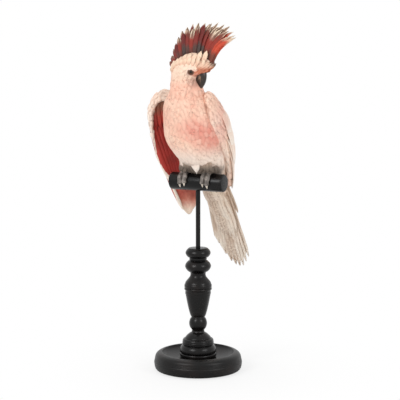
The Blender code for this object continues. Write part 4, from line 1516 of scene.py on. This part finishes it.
def small_feather_finish(name, ground, wash, rim):
    """Paint for small feathers: a ground colour, darker at some tips and in the carved lines."""
    finish = Finish(name, 0.5)
    u, v, _ = finish.axes(finish.unwrapped)
    tone = finish.attribute("tone")
    mid = ((u - 0.5) * 2).absolute()
    fleck = finish.noise(420, 4, 0.7)
    edge = (finish.ease(mid, 0.7, 1.0) + finish.ease(v, 0.92, 1.0)).clamped()
    dark = edge * finish.ease(tone + (fleck - 0.5) * 1.4, 0.6, 1.2) * rim
    dark = dark + finish.ease(fleck, 0.62, 0.74) * 0.3
    wander = finish.noise(95, 3, 0.55, finish.stretched(1.0, 1.0, 1.7))
    hair = finish.fade((wander - 0.5).absolute(), 0.004, 0.02)
    hair = hair * finish.ease(finish.noise(48, 2), 0.46, 0.6)
    dark = dark + hair * 0.55
    paint = finish.coats(ground(finish), ((tone * 0.3).clamped(), 252, 222, 200))
    finish.colour(finish.mix(dark.clamped(), paint, wash))
    finish.roughness(0.44 + fleck * 0.18)
    barbs = (v * 9 + mid * 2.2).fraction()
    finish.relief((barbs - 0.5).absolute() * 0.8 + fleck * 0.4, 0.16 * MM)
    return finish.material


small_paint = small_feather_finish("small_feather_paint", peach, srgb(146, 94, 76), 0.42)

# %% [markdown]
# ## Painted long feathers
# One recipe paints every long feather. Its UV map gives the way across and along the vane: barbs
# are fine slanting lines, the shaft is a raised line in the middle, and painted shade darkens the
# root, where the feather above shades it. Only the colours and where they change differ.

# %% The long feather recipe
BARBS = 40  # on each side of a vane


class FeatherPaint(Finish):
    """A finish for long feathers, with the places on the vane that its paint works from."""

    def __init__(self, name):
        super().__init__(name, 0.5)
        self.u, self.v, _ = self.axes(self.unwrapped)
        self.tone = self.attribute("tone")
        self.share = self.attribute("share")
        self.mid = ((self.u - 0.5) * 2).absolute()
        self.blotch = self.noise(140, 3)
        self.fleck = self.noise(420, 5, 0.7)
        self.spot = self.v + (self.tone - 0.5) * 0.12 + (self.blotch - 0.5) * 0.14
        self.height = (self.axes()[2] - perch_top) * 1000

    def done(self, paint, wash, root, edge, streak):
        """Add the dark coat, with painted shade at the root, and the relief that all long feathers
        share; give the material.
        """
        streaks = self.noise(46, 3, 0.6, self.lengthwise())
        # Painted shade at the root of each feather, where the feather above shades it.
        dark = self.fade(self.v, 0.1, 0.5) * root
        dark = dark + self.ease(self.mid, 0.7, 1.0) * edge * self.ease(self.fleck, 0.3, 0.6)
        dark = dark + self.ease(streaks + (self.fleck - 0.5) * 0.5, 0.5, 0.75) * streak
        self.colour(self.mix(dark.clamped(), paint, wash))
        self.roughness(0.44 + self.blotch * 0.2)
        line = (self.v * BARBS + self.mid * 8).fraction()
        shaft = self.fade(self.mid, 0.05, 0.18)
        self.relief(shaft * 0.7 + (line - 0.5).absolute() * 0.7 + self.blotch * 0.2, 0.3 * MM)
        return self.material

    def lengthwise(self):
        """A place that changes fast across the vane and slowly along it."""
        inputs = {"X": self.u * 0.5 + self.tone * 7, "Y": self.v * 0.06, "Z": self.tone * 3}
        return self.node("ShaderNodeCombineXYZ", (), inputs).socket


# %% Crest, crown and brow
plume = FeatherPaint("crest_paint")
front = plume.ease(plume.share, 0.8, 0.93)
nape = plume.fade(plume.share, 0.12, 0.36)
brown_roots = plume.ease(plume.tone, 0.35, 0.6)
root_colour = plume.coats(
    srgb(64, 54, 50), (brown_roots, 104, 56, 44), (front, 128, 62, 46), (nape, 112, 52, 42)
)
red = plume.coats(srgb(104, 20, 14), (plume.tone, 152, 42, 26), (front, 212, 74, 44))
pale = plume.coats(srgb(254, 232, 204), (nape * 0.75, 112, 76, 60))
paint = plume.mix(plume.ease(plume.spot, 0.18, 0.3), root_colour, red)
uneven = plume.spot + (plume.tone - 0.5) * 0.32 + (plume.fleck - 0.5) * 0.3 + front * 0.08
paint = plume.mix(plume.ease(uneven, 0.54, 0.84), paint, pale)
streak = plume.fade(plume.mid, 0.2, 0.75) * plume.ease(plume.spot, 0.4, 0.56)
streak = streak * plume.fade(plume.spot, 0.84, 1.0) * plume.ease(plume.tone, 0.15, 0.5)
paint = plume.coats(paint, (streak * (1 - front * 0.7) * 0.85, 98, 54, 36))
crest_paint = plume.done(paint, srgb(92, 46, 30), 0.1, 0.04, 0.28)

cream = FeatherPaint("crown_paint")
paint = cream.coats(srgb(243, 196, 168), (cream.ease(cream.spot, 0.1, 0.6), 250, 220, 192))
crown_paint = cream.done(paint, srgb(142, 98, 74), 0.1, 0.6, 0.12)

flame = FeatherPaint("brow_paint")
ahead, above = head_plane(flame)
point = flame.ease(ahead, 36, 43) * flame.ease(flame.spot, 0.3, 0.7)
paint = flame.coats(
    srgb(244, 202, 174),
    (flame.fade(above, 1, 9) * 0.8, 218, 112, 68),
    (point * 0.85, 108, 88, 76),
)
brow_paint = flame.done(paint, srgb(140, 74, 50), 0.1, 0.4, 0.25)

# %% Wings and tail
lining_red = FeatherPaint("wing_lining_paint")
height, drift = lining_red.height, lining_red.blotch - 0.5
paint = lining_red.coats(
    srgb(160, 32, 22),
    (lining_red.tone, 190, 52, 38),
    (lining_red.ease(lining_red.noise(38, 4), 0.42, 0.66) * 0.55, 120, 34, 22),
    (lining_red.ease(height + drift * 40, 72, 106), 128, 80, 56),
    (lining_red.fade(height + drift * 26, -60, -14) * 0.8, 226, 142, 118),
    (lining_red.fade(height + drift * 14, -68, -44), 242, 222, 202),
    (lining_red.share, 252, 236, 220),
)
lining_paint = lining_red.done(paint, srgb(112, 32, 22), 0.22, 0.1, 0.25)

cover = FeatherPaint("wing_cover_paint")
shaft_line = cover.fade(cover.mid, 0.06, 0.16) * cover.ease(cover.fleck, 0.35, 0.6)
paint = cover.coats(
    srgb(254, 230, 212),
    (cover.ease(cover.spot, 0.1, 0.8), 255, 244, 232),
    (cover.near(on_bird(44, -14, 80), 6 * MM, 30 * MM) * 0.5, 240, 172, 154),
    (shaft_line * 0.25, 150, 118, 100),
)
cover_paint = cover.done(paint, srgb(176, 148, 130), 0.03, 0.3, 0.05)

train = FeatherPaint("tail_paint")
varnish = train.ease(train.noise(30, 4, 0.6, train.stretched(1.0, 0.5, 0.3)), 0.46, 0.66)
side_way = (Vector((1, 0, 0)) - tail_down * 0.012).normalized()
off_middle = train.along(side_way, tail_place(-2, 90, 0)).absolute()
# A patchy brown darkening down the middle of the tail.
darker_down_middle = train.fade(off_middle + (train.blotch - 0.5) * 16, 3, 13)
darker_down_middle = darker_down_middle * train.ease(train.fleck, 0.3, 0.62)
middle_streak = train.fade(train.mid, 0.03, 0.2) * train.ease(train.fleck, 0.35, 0.6)
paint = train.coats(
    srgb(252, 232, 212),
    (train.ease(train.spot, 0.1, 0.9), 255, 242, 226),
    (varnish * 0.45, 196, 156, 122),
    (darker_down_middle * 0.6, 168, 128, 96),
    (middle_streak * 0.6, 150, 112, 84),
)
tail_paint = train.done(paint, srgb(156, 114, 82), 0.12, 0.2, 0.55)

legging = FeatherPaint("leg_paint")
paint = legging.coats(srgb(184, 160, 140), (legging.ease(legging.spot, 0.0, 0.5), 112, 98, 86))
leg_paint = legging.done(paint, srgb(74, 62, 52), 0.1, 0.25, 0.6)

white = FeatherPaint("belly_paint")
paint = white.coats(srgb(248, 230, 216), (white.ease(white.spot, 0.2, 0.8), 252, 240, 228))
belly_paint = white.done(paint, srgb(190, 160, 140), 0.1, 0.3, 0.1)

# %% Skin of the wings, and the small feathers on them


def wing_ground(finish):
    """The colours of both wings and their painted shade, from the first coat to the last."""
    rosy = finish.near(on_bird(46, -12, 92), 8 * MM, 32 * MM) * 0.5
    rosy = rosy + finish.near(on_bird(44, -20, 62), 8 * MM, 26 * MM) * 0.5
    return finish.coats(
        srgb(252, 228, 210),
        (finish.ease(finish.noise(40, 4), 0.35, 0.7), 244, 206, 186),
        (rosy.clamped(), 236, 164, 148),
        (finish.near(on_bird(-84, -6, 64), 22 * MM, 56 * MM) * 0.8, 255, 242, 230),
        (finish.near(on_bird(38, -34, 116), 8 * MM, 30 * MM) * 0.6, 238, 184, 158),
        # Painted shade down the crease beside the folded wing.
        (finish.beside(CREASE, 1 * MM, 6 * MM) * 0.6, 176, 118, 94),
        # Painted shade where the open wing's arm leaves the shoulder.
        (finish.near(on_bird(-46, -10, 124), 6 * MM, 24 * MM) * 0.5, 156, 128, 110),
    )


wing_small_paint = small_feather_finish("wing_small_paint", wing_ground, srgb(140, 112, 98), 0.55)
frame_finish = Finish("wing_skin", 0.5)
wing_grain = frame_finish.noise(600, 4, 0.6)
frame_paint = frame_finish.coats(wing_ground(frame_finish), (wing_grain * 0.3, 170, 130, 110))
frame_finish.colour(frame_paint)
frame_finish.relief(wing_grain, 0.3 * MM)

# %% Beak, eyes, feet and claws
beak_finish = Finish("beak_paint", 0.3)
flow = beak_finish.noise(120, 4, 0.6, beak_finish.stretched(1, 1, 0.35))
# Pale brown vertical streaks on the dark beak: partly the paint's horn colour, partly painted highlight.
horn_streaks_and_highlight = beak_finish.ease(flow, 0.46, 0.7)
beak_finish.colour(beak_finish.coats(srgb(38, 26, 19), (horn_streaks_and_highlight, 152, 118, 92)))
beak_finish.roughness(0.26 + flow * 0.2)
beak_finish.relief(flow, 0.25 * MM)

eye_finish = Finish("eye_glass", 0.2, coat_weight=0.06)
eye_finish.shader.inputs["Specular IOR Level"].default_value = 0.25
pupils = (
    eye_finish.near(place + gaze * EYE_RADIUS * MM, 1.5 * MM, 2.1 * MM) for place, gaze in eye_places
)
pupil = sum(pupils, start=0).clamped()
eye_finish.colour(
    eye_finish.coats(srgb(52, 30, 18), (eye_finish.noise(400, 2), 104, 70, 46), (pupil, 10, 8, 8))
)

lid_finish = Finish("bare_skin", 0.5)
folds = lid_finish.noise(1500, 3)
lid_finish.colour(lid_finish.coats(srgb(150, 108, 90), (folds, 96, 64, 52)))
lid_finish.relief(folds, 0.1 * MM)

foot_finish = Finish("scaly_feet", 0.5)
cells = foot_finish.node("ShaderNodeTexVoronoi", (), {"Vector": foot_finish.place, "Scale": 620.0})
# Lighter grey mottle on the feet: partly the paint's own uneven tone, partly painted highlight.
light_mottle_and_highlight = foot_finish.ease(foot_finish.noise(150, 4), 0.35, 0.65)
gaps = foot_finish.ease(cells, 0.3, 0.7) * 0.5
foot_finish.colour(
    foot_finish.coats(srgb(92, 84, 78), (light_mottle_and_highlight, 158, 148, 140), (gaps, 66, 60, 56))
)
foot_finish.relief(1 - cells, 0.3 * MM)

claw_finish = Finish("pale_claws", 0.4)
growth = claw_finish.noise(420, 3)
claw_finish.colour(claw_finish.coats(srgb(196, 182, 168), (growth, 232, 220, 204)))

# %% Dressing the bird
for piece, paint in (
    (skin, skin_finish.material),
    (body_coat, small_paint),
    (beak, beak_finish.material),
    (eye_pair, eye_finish.material),
    (lids, lid_finish.material),
    (crest, crest_paint),
    (crown, crown_paint),
    (brow, brow_paint),
    (open_frame, frame_finish.material),
    (open_coat, wing_small_paint),
    (open_outer, cover_paint),
    (open_inner, lining_paint),
    (folded_blade, frame_finish.material),
    (folded_coat, wing_small_paint),
    (folded, cover_paint),
    (tail, tail_paint),
    (legs, leg_paint),
    (belly_point, belly_paint),
    (feet, foot_finish.material),
    (talons, claw_finish.material),
):
    dress(piece, paint, "cockatoo")

for blank in blanks:
    bpy.data.objects.remove(blank)

# %% [markdown]
# ## Floor, light and camera
# The picture is a product shot: a white sweep, broad soft light from the upper left and front, and
# a long lens a little above the perch. The world is white to the camera and to reflections, and
# dimmer as a light, so the paint keeps its own colours.

# %% Floor
fresh_start()
bpy.ops.mesh.primitive_plane_add(size=12, location=(0, 0, 0))
floor = bpy.context.active_object
floor.name = "floor"
sweep = Finish("white_sweep", 0.9)
sweep.shader.inputs["Base Color"].default_value = (0.9, 0.9, 0.9, 1)
rays = sweep.tree.nodes.new("ShaderNodeLightPath")
by_camera = Value(sweep.tree, rays.outputs["Is Camera Ray"])
by_gloss = Value(sweep.tree, rays.outputs["Is Glossy Ray"])
lit = sweep.node("ShaderNodeEmission", (), {"Color": (1, 1, 1, 1), "Strength": 1.0})
far = 1 - sweep.near(Vector((0.02, 0, 0)), 0.06, 0.3)
share = (by_camera * (0.76 + far * 0.24)).most(by_gloss * far)
blend = sweep.node("ShaderNodeMixShader", (), {0: share, 1: sweep.shader.outputs[0], 2: lit})
output = sweep.tree.nodes["Material Output"]
sweep.tree.links.new(blend.socket, output.inputs["Surface"])
floor.data.materials.append(sweep.material)

# %% World
world = bpy.data.worlds.new("studio")
bpy.context.scene.world = world
world.use_nodes = True
nodes = world.node_tree.nodes
links = world.node_tree.links
background = nodes["Background"]
background.inputs["Color"].default_value = (1, 1, 1, 1)
rays = nodes.new("ShaderNodeLightPath")
seen = nodes.new("ShaderNodeMath")
seen.operation = "MAXIMUM"
links.new(rays.outputs["Is Camera Ray"], seen.inputs[0])
links.new(rays.outputs["Is Glossy Ray"], seen.inputs[1])
strength = nodes.new("ShaderNodeMapRange")
strength.inputs["To Min"].default_value = 0.5
strength.inputs["To Max"].default_value = 1.0
links.new(seen.outputs[0], strength.inputs["Value"])
links.new(strength.outputs[0], background.inputs["Strength"])

# %% Lamps and camera
VIEW_TURN = math.radians(28)
view_right = Vector((math.cos(VIEW_TURN), math.sin(VIEW_TURN), 0))
view_from = Vector((math.sin(VIEW_TURN), -math.cos(VIEW_TURN), 0))


def soft_lamp(name, place, aim, size, watts):
    """A square area lamp."""
    lamp = bpy.data.lights.new(name, "AREA")
    lamp.size = size
    lamp.energy = watts
    obj = bpy.data.objects.new(name, lamp)
    bpy.context.scene.collection.objects.link(obj)
    obj.location = place
    obj.rotation_euler = (aim - place).to_track_quat("-Z", "Y").to_euler()


middle = Vector((0, 0, 0.3))
soft_lamp("left_box", middle + view_from * 1.25 - view_right * 1.1 + up * 0.9, middle, 0.8, 16)
soft_lamp("right_box", middle + view_from * 1.1 + view_right * 1.25 + up * 0.7, middle, 0.7, 9)
soft_lamp("top_box", middle - view_from * 0.5 + up * 1.6, middle, 1.2, 10)

camera_far, camera_high, aim_high, aim_right = 2.048, 0.530, 0.268, 0.003  # metres
camera_data = bpy.data.cameras.new("camera")
camera_data.lens = 120
camera_data.sensor_width = 36
camera = bpy.data.objects.new("camera", camera_data)
bpy.context.scene.collection.objects.link(camera)
bpy.context.scene.camera = camera
camera.location = view_from * camera_far + up * camera_high + view_right * aim_right
aim = up * aim_high + view_right * aim_right
camera.rotation_euler = (aim - camera.location).to_track_quat("-Z", "Y").to_euler()
bpy.context.scene.view_settings.view_transform = "Standard"
